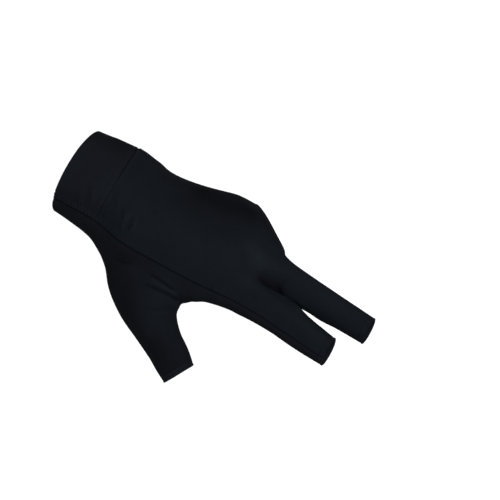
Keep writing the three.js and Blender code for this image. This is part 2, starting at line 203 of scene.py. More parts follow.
def cloth_between(line, after):
    """Which piece of cloth lies between two neighbouring lines."""
    if {line, after} in ({"R1", "D0"}, {"R2", "R1"}, {"P1", "R2"}):
        return "thumb_panel"
    back = BACK_LINES + ["U"]
    if line in back and after in back + ["W1", "W2"] or line in ["W1", "W2"] and after in back:
        return "back_panel"
    return "palm_panel"


print("lines along the body:", len(BODY_LINES))

# %% [markdown]
# The sections are a short table. Each row gives one cross-section of the body: how far along it
# lies, its middle, its width and its height above and below the middle, and the angle at which
# the main seam crosses it. The last three columns lean the section, bow the cuff's seam forwards
# and hold the outer side back where the glove is cut away.

# %% Sections of the body
Section = namedtuple("Section", "at y z wide top bottom seam slant bow lag")


def along_body(share):
    """How far along a section lies, as a share of the way from the cuff's seam to the web."""
    return mix(CUFF_LENGTH, BODY_LENGTH, share)


HALF_WRIST = 0.5 * WRIST_DEPTH
CUFF_HALF = 0.48 * WRIST_DEPTH
W, D, RUN = BODY_WIDTH, BODY_DEPTH, OPENING_RUN
SECTIONS = [
    Section(0, 0, 0, WRIST_WIDTH, HALF_WRIST, HALF_WRIST, 157, 0.06, 0, 0),
    Section(
        *(CUFF_LENGTH, -0.01 * WRIST_WIDTH, 0, 1.11 * WRIST_WIDTH, CUFF_HALF, CUFF_HALF),
        *(144, 0.12, 0.14 * CUFF_LENGTH, 0),
    ),
    Section(along_body(0.18), -0.115 * W, 0, 0.97 * W, 0.54 * D, 0.52 * D, 134, 0.05, 0, 0.06 * RUN),
    Section(along_body(0.4), -0.07 * W, 0, 0.92 * W, 0.52 * D, 0.52 * D, 143, 0, 0, 0.3 * RUN),
    Section(along_body(0.65), -0.04 * W, 0.02 * D, 0.98 * W, 0.5 * D, 0.48 * D, 146, 0, 0, 0.55 * RUN),
    Section(along_body(0.82), 0.01 * W, 0.05 * D, 0.94 * W, 0.5 * D, 0.44 * D, 156, 0, 0, 0.8 * RUN),
]
print("sections of the body:", len(SECTIONS))

# %% [markdown]
# The smooth form lies inside its control points, so each ring of them is made bigger by a known
# factor. A section then gives sixteen places, one for each line of the body.

# %% One ring of the body
def spread(count):
    """How much bigger a ring of control points is than the smooth ring that it gives."""
    return 6 / (4 + 2 * math.cos(math.tau / count))


def past_middle(y):
    """How far a place is past the middle finger towards the outer edge, from 0 to 1."""
    return max(0, (y - MIDDLE_WIDTH / 2) / (BODY_WIDTH / 2 - MIDDLE_WIDTH / 2))


def body_ring(section):
    """The places of the sixteen lines on one section of the body."""
    size = spread(len(BODY_LINES))
    places = []
    for angle in line_angles(section.seam).values():
        across = math.cos(math.radians(angle))
        height = math.sin(math.radians(angle))
        y = section.y + size * section.wide * across / 2
        z = section.z + size * height * (section.top if height > 0 else section.bottom)
        bow = section.bow * max(0, height) ** 2
        x = section.at + bow - section.slant * y - section.lag * past_middle(y)
        places.append(Vector((x, y, z)) * MM)
    return places


print("control points lie outside by a factor of", round(spread(len(BODY_LINES)), 3))

# %% [markdown]
# A finger of the glove is a plain tube that narrows towards its open end. Its rings have eight
# points. Finger lines that start on the body's lines keep their names, so that the seams run on
# from the body along the fingers without a break. The main seam lies low on the index finger.

# %% Finger tubes
Finger = namedtuple("Finger", "lines length width end_width y end_y drop steps")
TUBE_LINES = 8
TUBE_START = 140
TUBE_SEAM = 155
TUBE_HEIGHT = 0.04 * BODY_DEPTH
MIDDLE_Y = 0.01 * BODY_WIDTH
INDEX_Y = MIDDLE_Y - 0.485 * (INDEX_WIDTH + MIDDLE_WIDTH)
FINGERS = {
    "index": Finger(
        ["D0", "D1", "D2", "W1", "P2", "P1", "R2", "R1"],
        INDEX_LENGTH - HEM_WIDTH - HEM_START,
        *(INDEX_WIDTH, INDEX_END_WIDTH, INDEX_Y, INDEX_Y - 0.04 * INDEX_WIDTH - FINGER_SPREAD),
        *(0.13 * INDEX_LENGTH, 2),
    ),
    "middle": Finger(
        ["D2", "D3", "D4", "W2", "P4", "P3", "P2", "W1"],
        MIDDLE_LENGTH - HEM_WIDTH - HEM_START,
        *(MIDDLE_WIDTH, MIDDLE_END_WIDTH, MIDDLE_Y, MIDDLE_Y - 0.09 * MIDDLE_WIDTH),
        *(0.1 * MIDDLE_LENGTH, 3),
    ),
}


def tube_place(finger, share, turn):
    """One point of a finger tube, a share of the way along it and some eighths of a turn round."""
    angle = math.radians(TUBE_START - 360 / TUBE_LINES * turn)
    if finger.lines[turn] == "D0":
        angle = math.radians(TUBE_SEAM)
    radius = spread(TUBE_LINES) * mix(finger.width, finger.end_width, share) / 2
    x = BODY_LENGTH + finger.length * share
    y = mix(finger.y, finger.end_y, share) + radius * math.cos(angle)
    z = TUBE_HEIGHT - finger.drop * share + radius * math.sin(angle)
    return Vector((x, y, z)) * MM


for name, finger in FINGERS.items():
    print(name, "finger: tube", round(finger.length, 1), "mm long, with", finger.steps, "steps")

# %% [markdown]
# Where the body parts into two finger tubes and the cut-away side, its last ring has to fit all
# three. The points over each finger come from its tube, the points in the fork dip between the
# tubes, and the cut-away side runs back in a slanting line to the outer edge. Two extra points,
# W1 and W2, close each tube on its inner side.

# %% The ring at the web
EDGE_BEND = 1.08
EDGE_ROUNDNESS = 1.5


def web_places():
    """The named places of the ring where the fingers part, with the two extra points."""
    index, middle = FINGERS["index"], FINGERS["middle"]
    places = {}
    for finger, lines in ((index, "D0 D1 P1 R2 R1"), (middle, "D3 D4 W2 P4 P3")):
        for line in lines.split():
            places[line] = tube_place(finger, 0, finger.lines.index(line))
    places["W2"].x += 0.12 * MIDDLE_WIDTH * MM
    between = (index.y + index.width / 2 + middle.y - middle.width / 2) / 2
    places["D2"] = Vector((BODY_LENGTH, between, 0.22 * BODY_DEPTH)) * MM
    places["W1"] = Vector((BODY_LENGTH + 0.087 * INDEX_WIDTH, between, 0)) * MM
    places["P2"] = Vector((BODY_LENGTH, between, -0.26 * BODY_DEPTH)) * MM
    for line in ("D5", "D6", "U", "P6", "P5"):
        angle = math.radians(LINE_ANGLES[line])
        y = mix(middle.y + middle.width / 2, BODY_WIDTH / 2, math.cos(angle) ** EDGE_ROUNDNESS)
        edge = BODY_LENGTH - OPENING_HEM_WIDTH - HEM_START
        x = edge - OPENING_RUN * past_middle(y) ** EDGE_BEND
        places[line] = Vector((x, y, 0.42 * BODY_DEPTH * math.sin(angle))) * MM
    return places


print("points at the web:", len(web_places()))

# %% [markdown]
# The cage is made with two operators: a circle for the cuff's mouth, and extrusions of its edges.
# Each new face is told which cloth it belongs to, by its material index, which subdivision keeps.
# It also gets its place on the cloth in a UV map: how far round and how far along, in millimetres.
# The knit is drawn on that map later, so its ribs follow the fingers.

# %% Grow a ring
LINE_PITCH = 11
cage = bmesh.new()
cloth_map = cage.loops.layers.uv.new("ClothMap")


def neighbours(ring):
    """Each item of a closed ring with the one after it."""
    return list(zip(ring, ring[1:] + ring[:1]))


def grow(shape, ring, places):
    """Extrudes the edges of a closed ring of points to new places, and gives the new ring."""
    edges = [shape.edges.get(pair) for pair in neighbours(ring)]
    made = bmesh.ops.extrude_edge_only(shape, edges=edges)
    fresh = {item for item in made["geom"] if isinstance(item, bmesh.types.BMVert)}
    far = []
    for point, place in zip(ring, places):
        twin = next(e.other_vert(point) for e in point.link_edges if e.other_vert(point) in fresh)
        twin.co = place
        far.append(twin)
    return far


def extrude_ring(ring, places, cloths, start, end):
    """Grows the cage by a ring and dresses the new faces with their cloths and cloth map."""
    far = grow(cage, ring, places)
    for step, ((a, b), cloth) in enumerate(zip(neighbours(far), cloths)):
        face = cage.edges.get((a, b)).link_faces[0]
        face.material_index = CLOTHS.index(cloth)
        for loop in face.loops:
            late = loop.vert in (b, ring[(step + 1) % len(ring)])
            along = end if loop.vert in (a, b) else start
            loop[cloth_map].uv = ((step + late) * LINE_PITCH, along)
    return far


print("an empty cage with the map", cloth_map.name)

# %% [markdown]
# The first ring is the cuff's mouth. The others follow from the table, and the last of them is the
# ring at the web. Each point is noted by its line and its row, such as D03, so that the fingers and
# the thumb can find their places on the body. The first row of faces on the back is the cuff.

# %% Extrude the body
points = {}
made = bmesh.ops.create_circle(cage, segments=len(BODY_LINES), radius=WRIST_WIDTH / 2 * MM)
ring = made["verts"]
for point, place in zip(ring, body_ring(SECTIONS[0])):
    point.co = place
points.update({line + "0": point for line, point in zip(BODY_LINES, ring)})

web = web_places()
body_cloths = [cloth_between(*pair) for pair in neighbours(BODY_LINES)]
for row in range(1, len(SECTIONS) + 1):
    at_web = row == len(SECTIONS)
    places = [web[line] for line in BODY_LINES] if at_web else body_ring(SECTIONS[row])
    cloths = [
        "cuff_band" if row == 1 and cloth == "back_panel" else cloth for cloth in body_cloths
    ]
    start = SECTIONS[row - 1].at
    end = BODY_LENGTH if at_web else SECTIONS[row].at
    ring = extrude_ring(ring, places, cloths, start, end)
    points.update({line + str(row): point for line, point in zip(BODY_LINES, ring)})
print("the body's cage:", len(cage.faces), "faces")

# %% [markdown]
# The two extra points close off one ring of eight points for each finger. From there a finger is
# the same job again: its ring is extruded step by step to the places of its tube. The outer side
# isn't extruded, so the ring stays open there, and that is the slanting opening.

# %% Extrude the fingers
WEB_ROW = str(len(SECTIONS))
for name, ends in (("W1", ("D2", "P2")), ("W2", ("D4", "P4"))):
    points[name + WEB_ROW] = cage.verts.new(web[name])
    for end in ends:
        cage.edges.new((points[name + WEB_ROW], points[end + WEB_ROW]))

for finger in FINGERS.values():
    ring = [points[line + WEB_ROW] for line in finger.lines]
    cloths = [cloth_between(*pair) for pair in neighbours(finger.lines)]
    for step in range(finger.steps):
        share = (step + 1) / finger.steps
        places = [tube_place(finger, share, turn) for turn in range(TUBE_LINES)]
        start = BODY_LENGTH + finger.length * step / finger.steps
        end = BODY_LENGTH + finger.length * share
        ring = extrude_ring(ring, places, cloths, start, end)
print("with the fingers:", len(cage.faces), "faces")

# %% [markdown]
# The thumb comes out of the side strip, turned well away from the fingers. Four faces of the
# strip are deleted, and the ring of eight edges round that hole is extruded three times along the
# thumb. Its sections are a table again, in shares of the thumb's length and width, with the
# heading and the dip of the tube at each one.

# %% Extrude the thumb
Thumb = namedtuple("Thumb", "along aside down wide thick heading dip")
THUMB_SECTIONS = [
    Thumb(along=0.03, aside=0.21, down=0.12, wide=1.5, thick=1.16, heading=-52, dip=-14),
    Thumb(along=0.26, aside=0.37, down=0.24, wide=1, thick=1, heading=-38, dip=-18),
    Thumb(along=0.66, aside=0.59, down=0.4, wide=0.75, thick=0.75, heading=-25, dip=-20),
]
THUMB_ROOT = ["R13", "R14", "R24", "P14", "P13", "P12", "R22", "R12"]


def thumb_ring(root, section, width):
    """The eight places of one section of the thumb's tube."""
    heading, dip = math.radians(section.heading), math.radians(section.dip)
    axis = Vector((math.cos(dip) * math.cos(heading), math.cos(dip) * math.sin(heading), math.sin(dip)))
    up = (Vector((0, 0, 1)) - axis * axis.z).normalized()
    inward = up.cross(axis)
    middle = root + Vector((section.along, -section.aside, -section.down)) * THUMB_LENGTH * MM
    radius = spread(TUBE_LINES) * width / 2 * MM
    places = []
    for turn in range(TUBE_LINES):
        angle = math.radians(90 - 360 / TUBE_LINES * turn)
        across = inward * section.wide * math.cos(angle)
        places.append(middle + radius * (across + up * section.thick * math.sin(angle)))
    return places


ring = [points[name] for name in THUMB_ROOT]
root = sum((point.co for point in ring), Vector()) / len(ring)
bmesh.ops.delete(cage, geom=points["R23"].link_faces[:], context="FACES")
for step, section in enumerate(THUMB_SECTIONS):
    last = section is THUMB_SECTIONS[-1]
    width = THUMB_END_WIDTH / section.wide if last else THUMB_WIDTH
    start, end = THUMB_LENGTH * step / 3, THUMB_LENGTH * (step + 1) / 3
    cloths = ["thumb_panel"] * TUBE_LINES
    ring = extrude_ring(ring, thumb_ring(root, section, width), cloths, start, end)
bmesh.ops.recalc_face_normals(cage, faces=cage.faces)
highest = max(cage.faces, key=lambda face: face.calc_center_median().z)
if highest.normal.z < 0:
    bmesh.ops.reverse_faces(cage, faces=cage.faces)
print("the whole cage:", len(cage.faces), "faces, the highest faces", [round(n, 2) for n in highest.normal])

# %% [markdown]
# ## Rounding the cage
# A Subdivision Surface modifier with four levels turns each face of the cage into 256 small ones
# and rounds the whole form. The result is read back as a new bmesh, called the shell, which every
# later step works on.

# %% Subdivide
SMOOTH_LEVELS = 4


def finished_mesh(thing):
    """The mesh of an object with its modifiers applied."""
    bpy.context.view_layer.update()
    graph = bpy.context.evaluated_depsgraph_get()
    return bpy.data.meshes.new_from_object(thing.evaluated_get(graph))


def round_off(coarse, levels):
    """A new bmesh that is the coarse one after subdivision smoothing."""
    mesh = bpy.data.meshes.new("cage")
    coarse.to_mesh(mesh)
    thing = bpy.data.objects.new("cage", mesh)
    bpy.context.scene.collection.objects.link(thing)
    smoothing = thing.modifiers.new("smoothing", "SUBSURF")
    smoothing.levels = smoothing.render_levels = levels
    fine = bmesh.new()
    fine.from_mesh(finished_mesh(thing))
    bpy.data.objects.remove(thing)
    return fine


shell = round_off(cage, SMOOTH_LEVELS)
print("shell:", len(shell.verts), "points,", len(shell.faces), "faces")

# %% [markdown]
# ## Soft folds
# The next steps lift or sink the shell along its normals, as a sculptor's brush would. NumPy holds
# the points in one table, so that a whole fold is one line of arithmetic. A fold is a line with a
# width and a height, and falls off as a bell curve to both sides.

# %% Measure the shell
def shell_tables():
    """The places and the normals of the shell's points, as two tables."""
    shell.normal_update()
    shell.verts.ensure_lookup_table()
    places = np.array([point.co[:] for point in shell.verts])
    return places, np.array([point.normal[:] for point in shell.verts])


def away_from_line(places, line):
    """How far places are from a run of points, and how far along that run they lie, from 0 to 1."""
    line = np.array([place[:] for place in line], float)
    lengths = np.linalg.norm(line[1:] - line[:-1], axis=1)
    starts = np.concatenate([[0], np.cumsum(lengths)])
    best = np.full(len(places), np.inf)
    run = np.zeros(len(places))
    for a, b, length, start in zip(line[:-1], line[1:], lengths, starts):
        share = np.clip((places - a) @ (b - a) / max(length, 1e-9) ** 2, 0, 1)
        away = np.linalg.norm(places - a - share[:, None] * (b - a), axis=1)
        closer = away < best
        best = np.where(closer, away, best)
        run = np.where(closer, start + share * length, run)
    return best, run / max(starts[-1], 1e-9)


def bell(away, width):
    """A bell curve: 1 on the line, and about a third at its width."""
    return np.exp(-((away / width) ** 2))


base, normals = shell_tables()
print("a table of", len(base), "places and normals")

# %% [markdown]
# First come the broad folds that the plain pieces have too: the knuckles, the hollow at the fork,
# the puff by the cuff and the thick root of the thumb. Their places are shares of the body's
# length, width and depth, so they keep to the measured model.

# %% Soft folds of the form
Fold = namedtuple("Fold", "start end width height")
SOFT_FOLDS = {
    "puff by the cuff": Fold((0.23, 0.4, 0.2), (0.29, 0.37, 0.15), 0.08, 0.04),
    "middle knuckle": Fold((0.87, -0.02, 0.5), (0.9, -0.02, 0.5), 0.12, 0.045),
    "index knuckle": Fold((0.84, -0.24, 0.45), (0.86, -0.25, 0.45), 0.1, 0.02),
    "fork's hollow": Fold((0.94, -0.14, 0.3), (1, -0.13, 0.2), 0.08, -0.05),
    "thumb's root": Fold((0.3, -0.5, -0.25), (0.4, -0.66, -0.38), 0.13, 0.075),
    "thumb's web": Fold((0.68, -0.53, -0.25), (0.71, -0.52, -0.25), 0.065, 0.06),
    "thumb's fold": Fold((0.58, -0.5, 0.15), (0.7, -0.56, 0), 0.065, 0.03),
}
body_size = np.array([BODY_LENGTH, BODY_WIDTH, BODY_DEPTH]) * MM
lift = np.zeros(len(base))
for fold in SOFT_FOLDS.values():
    away, _ = away_from_line(base, [fold.start * body_size, fold.end * body_size])
    lift += fold.height * BODY_DEPTH * MM * bell(away, fold.width * BODY_WIDTH * MM)
for point, place, normal, height in zip(shell.verts, base, normals, lift):
    point.co = Vector(place + normal * height)
print("soft folds lift the form by", round(lift.max() / MM, 2), "mm at most")

# %% [markdown]
# ## More points where the seams run
# A seam is where two cloths meet, so its edges can be found by the cloths of their faces. How far
# a point of the shell lies from a seam decides much of what follows. A search tree of closely
# spaced points along each seam answers that quickly.

# %% Find the seams
SEAMS = {
    "main": ({"back_panel", "thumb_panel"}, {"cuff_band", "thumb_panel"}),
    "cuff": ({"back_panel", "cuff_band"},),
    "outer": ({"back_panel", "palm_panel"}, {"cuff_band", "palm_panel"}),
    "palm": ({"palm_panel", "thumb_panel"},),
}


def cloth_of(face):
    """The name of the cloth that a face belongs to."""
    return CLOTHS[face.material_index]


def seam_edges(name):
    """The edges of the shell that lie on one seam."""
    return [
        edge
        for edge in shell.edges
        if len(edge.link_faces) == 2 and {cloth_of(face) for face in edge.link_faces} in SEAMS[name]
    ]


def line_tree(edges, spacing=0.1 * MM):
    """A search tree of closely spaced points on some edges."""
    rows = []
    for edge in edges:
        start, end = (point.co for point in edge.verts)
        count = max(1, math.ceil((end - start).length / spacing))
        rows += [start.lerp(end, step / count) for step in range(count)]
    tree = kdtree.KDTree(len(rows))
    for number, row in enumerate(rows):
        tree.insert(row, number)
    tree.balance()
    return tree


seam_trees = {name: line_tree(seam_edges(name)) for name in SEAMS}
print("edges on the seams:", {name: len(seam_edges(name)) for name in SEAMS})

# %% [markdown]
# The seams need more points than the open cloth, because the cloth dips into them within a
# millimetre. So the edges that cross a seam are cut again. Along the main seam the overlock
# stitches press the cloth into small beads, and there the edges along the seam are cut too. Each
# row of the table names a seam, how far its band reaches in millimetres, the number of cuts, and
# whether the edges run along the seam. The cuts leave some faces with five sides or more at the
# rim of a band, and these become triangles.

# %% Cut more points beside the seams
BEAD_BAND = 5.6
GROOVE_BAND = 0.8
UPPER_CLOTHS = ["back_panel", "cuff_band"]
Cut = namedtuple("Cut", "seam band cuts along cloths")
CUTS = [
    Cut("main", BEAD_BAND, 5, True, UPPER_CLOTHS),
    Cut("main", BEAD_BAND, 2, False, UPPER_CLOTHS),
    Cut("cuff", 1.2, 1, True, ["back_panel"]),
    Cut("cuff", 3.4, 2, True, ["cuff_band"]),
    Cut("main", GROOVE_BAND, 1, False, CLOTHS),
    Cut("cuff", GROOVE_BAND, 2, False, CLOTHS),
    Cut("outer", GROOVE_BAND, 2, False, CLOTHS),
    Cut("palm", GROOVE_BAND, 2, False, CLOTHS),
]


def edges_beside(cut):
    """The edges within a band beside a seam, on some cloths: those along it, or those across it."""
    chosen = []
    for edge in shell.edges:
        if not any(cloth_of(face) in cut.cloths for face in edge.link_faces):
            continue
        ends = [seam_trees[cut.seam].find(point.co)[2] for point in edge.verts]
        runs_along = abs(ends[0] - ends[1]) < 0.5 * edge.calc_length()
        if min(ends) < cut.band * MM and runs_along == cut.along:
            chosen.append(edge)
    return chosen


for cut in CUTS:
    bmesh.ops.subdivide_edges(shell, edges=edges_beside(cut), cuts=cut.cuts, use_grid_fill=True)
many_sided = [face for face in shell.faces if len(face.verts) > 4]
bmesh.ops.triangulate(shell, faces=many_sided)
base, normals = shell_tables()
away_from = {
    name: np.array([tree.find(point.co)[2] for point in shell.verts]) / MM
    for name, tree in seam_trees.items()
}
print("with the seams cut:", len(shell.faces), "faces")

# %% [markdown]
# ## Creases
# Tight cloth shows where it is pulled: two creases run from the thumb's web towards the cuff with a
# ridge between them, short puckers stand along the seam by the cuff, and a small pit lies in the
# back. They could be painted in a bump map, but such a map would be tied to one material and would
# vanish at the outline. So each is a mark on the mesh: the pixels where the photograph shows it, a
# width, and an amount, which is its height in millimetres and is positive for a ridge.

# %% Creases
Mark = namedtuple("Mark", "pixels width amount")
CREASES = {
    "upper thumb crease": Mark(((146, 272), (158, 279), (172, 289), (184, 298)), 0.8, -0.65),
    "thumb ridge": Mark(((150, 278), (160, 285), (170, 291), (180, 297.5)), 1.5, 0.75),
    "lower thumb crease": Mark(((144, 283), (156, 288.5), (166, 293.5), (178, 300)), 0.9, -0.6),
    "ridge below it": Mark(((146, 289), (158, 294), (168, 299), (177, 305)), 2, 0.3),
    "cross crease": Mark(((143, 308), (155, 309), (168, 309.5)), 0.9, -0.3),
    "cross ridge": Mark(((152, 311.5), (166, 311.5), (177, 308)), 1.2, 0.3),
    "strip's crease": Mark(((111, 257), (121, 262.5), (134, 264)), 1, -0.22),
    "strip's ridge": Mark(((112, 261), (124, 266), (136, 268)), 1.4, 0.15),
    "cuff pucker 1": Mark(((77, 192), (76, 205)), 1, -0.2),
    "cuff pucker 2": Mark(((83, 190), (82, 206)), 1, 0.2),
    "cuff pucker 3": Mark(((89.7, 184), (89.2, 203)), 1, -0.4),
    "cuff pucker 4": Mark(((94.3, 190), (93, 207)), 1, 0.25),
    "back pucker 1": Mark(((115, 190), (114.5, 200), (117, 209)), 1.3, -0.35),
    "back pucker 2": Mark(((119.5, 198), (119, 211)), 0.9, 0.15),
    "back pucker 3": Mark(((123.5, 207), (121, 220)), 0.7, -0.5),
    "back pucker 4": Mark(((126.5, 215), (124, 222), (122, 231)), 0.7, 0.55),
    "back pucker 5": Mark(((119.5, 222), (119, 230)), 0.7, -0.2),
    "back pucker 6": Mark(((129, 213), (126.5, 224)), 0.8, 0.35),
    "back pucker 7": Mark(((132.5, 217), (130, 225), (127, 231)), 0.7, -0.6),
    "back pucker 8": Mark(((136, 221), (132, 234)), 0.8, 0.4),
    "pit in the back": Mark(((156.6, 209.8), (153.4, 216)), 0.7, -0.7),
    "fork's floor": Mark(((257, 277), (266, 284), (283, 295.5), (300, 307)), 1.3, -0.9),
    "fork's fold": Mark(((274, 291.5), (284, 298), (297, 307)), 0.7, 0.45),
    "fork's near edge": Mark(((264, 287), (276, 296), (292, 307)), 1, -0.3),
}
print("creases:", len(CREASES))

# %% [markdown]
# Broader marks, the bumps, fill the cloth out over the back and the knuckles and bring the two
# fingers' sides together at the fork. Those along an edge move the outline by a millimetre or so
# where it differs from the photograph's.

# %% Bumps
BUMPS = {
    "middle of the back": Mark(((125, 195), (160, 217), (205, 238), (246, 252)), 13, 1.3),
    "middle knuckle": Mark(((251, 246), (257, 256)), 6.5, 1.1),
    "hollow behind it": Mark(((243, 253), (243.5, 262), (247, 270)), 2, -0.35),
    "index knuckle": Mark(((213, 246), (222, 252)), 6, 0.4),
    "middle finger's back": Mark(((280, 268), (320, 292), (360, 315)), 3.5, 0.35),
    "index finger's back": Mark(((262, 296), (290, 315), (325, 340)), 3.5, 0.3),
    "index finger's inner side": Mark(((283, 295), (298, 309)), 2.8, 1),
    "index finger's inner edge": Mark(((283, 295), (298, 309), (334, 339)), 3, 0.6),
    "middle finger's inner side": Mark(((283, 290), (293, 298), (302, 304)), 2.2, 0.7),
    "thumb's back": Mark(((150, 312), (163, 335), (178, 360)), 4, 0.35),
    "thumb's outer side": Mark(((118, 308), (133, 334), (148, 356)), 7, -1.6),
    "thumb's inner side": Mark(((184, 345), (192, 362)), 5, 1.1),
    "corner of the web": Mark(((177, 306), (182, 301), (195, 299)), 4, 1.6),
    "thumb's root": Mark(((104, 262), (106, 278)), 5, 0.5),
    "index finger's lower side": Mark(((240, 313), (275, 331), (320, 360)), 5, 0.8),
    "middle finger's upper side": Mark(((295, 262), (320, 277), (342, 292)), 4.5, 0.8),
    "cuff's upper side": Mark(((90, 130), (115, 142), (138, 152)), 6, 1.7),
    "strip beside the cuff": Mark(((58, 208), (85, 228), (98, 247)), 5, -0.5),
    "corner of the opening": Mark(((248, 198), (256, 202)), 3.5, 0.8),
}
print("bumps:", len(BUMPS))

# %% [markdown]
# A ray from the camera through a pixel meets the shell at a place on the glove. Each mark runs
# through such places, and how far a point of the shell lies from that run says how much of the
# mark it gets. So a mark lies on the cloth and looks right from every side. A little slow noise is
# added, because no cloth is pulled quite evenly.

# %% Draw the marks on the shell
SLACK_PACE = 0.055
SLACK_HEIGHT = 0.12


def place_at(pixel, tree):
    """The place on the glove at a pixel of the photograph, or the nearest place to that."""
    right, down = (value - PHOTO_SIZE / 2 for value in pixel)
    focal = LENS / SENSOR_WIDTH * PHOTO_SIZE
    ray = (view_right * right - view_up * down - view_back * focal).normalized()
    place = tree.ray_cast(camera.location, ray)[0]
    return place or tree.find_nearest(camera.location + ray * VIEW_DISTANCE)[0]


def drawn(marks, fading):
    """What some marks add at every point of the shell. Fading ones run out towards their ends."""
    total = np.zeros(len(base))
    for mark in marks.values():
        away, share = away_from_line(base, [place_at(pixel, shell_tree) for pixel in mark.pixels])
        fade = np.maximum(1 - (2 * share - 1) ** 4, 0.15) if fading else 1
        total += mark.amount * bell(away, mark.width * MM) * fade
    return total


shell_tree = BVHTree.FromBMesh(shell)
relief = drawn(CREASES, True)
slack = np.array([noise.noise(point.co / MM * SLACK_PACE) for point in shell.verts])
broad = drawn(BUMPS, False) + SLACK_HEIGHT * slack
inside_lift = relief + broad
print("creases go from", round(relief.min(), 2), "to", round(relief.max(), 2), "mm")

# %% [markdown]
# ## Seams
# At a seam both cloths turn down and are sewn together inside, so the shell dips into a narrow
# groove. What the stitches do depends on the distance along the seam, so each seam's edges are put
# in order first, and a place on the shell is measured along that run.

# %% Runs along the seams and their grooves
GROOVES = {"main": 0.42, "cuff": 0.38, "outer": 0.28, "palm": 0.28}
GROOVE_WIDTH = 0.65


def chain(edges):
    """The places along an open line of edges in order, from the end nearest to the cuff's mouth."""
    links = {}
    for edge in edges:
        for point in edge.verts:
            links.setdefault(point, []).append(edge.other_vert(point))
    ends = [point for point, others in links.items() if len(others) == 1]
    now = min(ends, key=lambda point: point.co.x)
    run, before = [now], None
    while True:
        after = [point for point in links[now] if point is not before]
        if not after:
            return [point.co.copy() for point in run]
        before, now = now, after[0]
        run.append(now)


def length_of(run):
    """The length of a run of places, in millimetres."""
    return sum((b - a).length for a, b in zip(run, run[1:])) / MM


seam_runs = {name: chain(seam_edges(name)) for name in ("main", "cuff")}
for name in ("main", "outer", "palm"):
    relief -= GROOVES[name] * bell(away_from[name], GROOVE_WIDTH)
print("main seam:", round(length_of(seam_runs["main"])), "mm long")

# %% [markdown]
# The main seam is overlocked: the thread runs round the two edges in close turns that cross each
# other, and presses a net of small beads into a band of the upper cloth. Two crossing waves make
# such a net. The beads are uneven, as the thread's pull is, so noise shifts and weakens them.

# %% Waves that make beads
def ramp(value, low, high):
    """Rises smoothly from 0 at low to 1 at high."""
    share = np.clip((value - low) / (high - low), 0, 1)
    return share * share * (3 - 2 * share)


def uneven(values, pace, seed):
    """Smooth noise between -1 and 1 along a row of values."""
    return np.array([noise.noise(Vector((value * pace, seed, 0))) for value in values])


def beads(run, away, pitch, row_pitch):
    """A net of beads beside a seam, from 0 to 1, where two sets of slanting ribs cross."""
    along = (run + 0.5 * uneven(run, 0.23, 0)) / pitch
    across = away / row_pitch
    net = np.cos(math.tau * (along + across)) + np.cos(math.tau * (along - across))
    return (0.5 + 0.25 * net) * (0.8 + 0.7 * uneven(run, 0.41, 7))


few = beads(np.arange(0, 4, 0.8), np.zeros(5), pitch=1.65, row_pitch=3.3)
print("beads along four millimetres:", few.round(2))

# %% [markdown]
# The band of beads lies on the upper cloths, within about four millimetres of the main seam. Beside
# the cuff its beads are bigger. Along the index finger it opens into longer pleats, which are beads
# with very long rows, and fades towards the finger's end.

# %% The overlock's beads
BEAD_PITCH = 1.65
BEAD_ROW = 3.3
CUFF_BEAD_PITCH = 2.6
CUFF_BEAD_ROW = 4.6
LONG_ROW = 60
BEAD_HEIGHT = 0.7
BEAD_MIDDLE = 0.3
BAND_HEIGHT = 0.08
BAND_START = 0.5
BAND_REACH = 3.9
PLEAT_REACH = 5.2
PLEATS_START = 126
PLEATS_END = 155
PLEATS_BLEND = 8

cloths_at = [{cloth_of(face) for face in point.link_faces} for point in shell.verts]
upper = np.array([bool(cloths & set(UPPER_CLOTHS)) for cloths in cloths_at])
on_cuff = np.array(["cuff_band" in cloths for cloths in cloths_at])

away = away_from["main"]
main_run = away_from_line(base, seam_runs["main"])[1] * length_of(seam_runs["main"])
pleated = ramp(main_run, PLEATS_START - PLEATS_BLEND, PLEATS_START + PLEATS_BLEND)
ended = ramp(main_run, PLEATS_END - PLEATS_BLEND, PLEATS_END + PLEATS_BLEND)
by_cuff = 1 - ramp(main_run, CUFF_LENGTH, CUFF_LENGTH + 4)
net = beads(main_run, away - 0.75, BEAD_PITCH, BEAD_ROW)
cuff_net = beads(main_run, away, CUFF_BEAD_PITCH, CUFF_BEAD_ROW)
pleats = beads(main_run, away, BEAD_PITCH, LONG_ROW)
pattern = mix(mix(net, pleats, pleated), cuff_net, by_cuff)
reach = mix(BAND_REACH, PLEAT_REACH, pleated) + 0.5 * uneven(main_run, 0.6, 3)
band = ramp(away, BAND_START, 1.2) * (1 - ramp(away, reach, reach + 1.2)) * upper
band *= 1 - 0.3 * pleated - 0.5 * ended
relief += (BAND_HEIGHT + BEAD_HEIGHT * (pattern - BEAD_MIDDLE)) * band
print("points in the band of beads:", int((band > 0).sum()))

# %% [markdown]
# The cuff is a folded band that is sewn on from inside, so the body's cloth stands up in a small
# roll beside it, and the band itself is thicker and lies a little proud. Towards the main seam the
# two cloths are gathered, and the clean line turns into a row of beads.

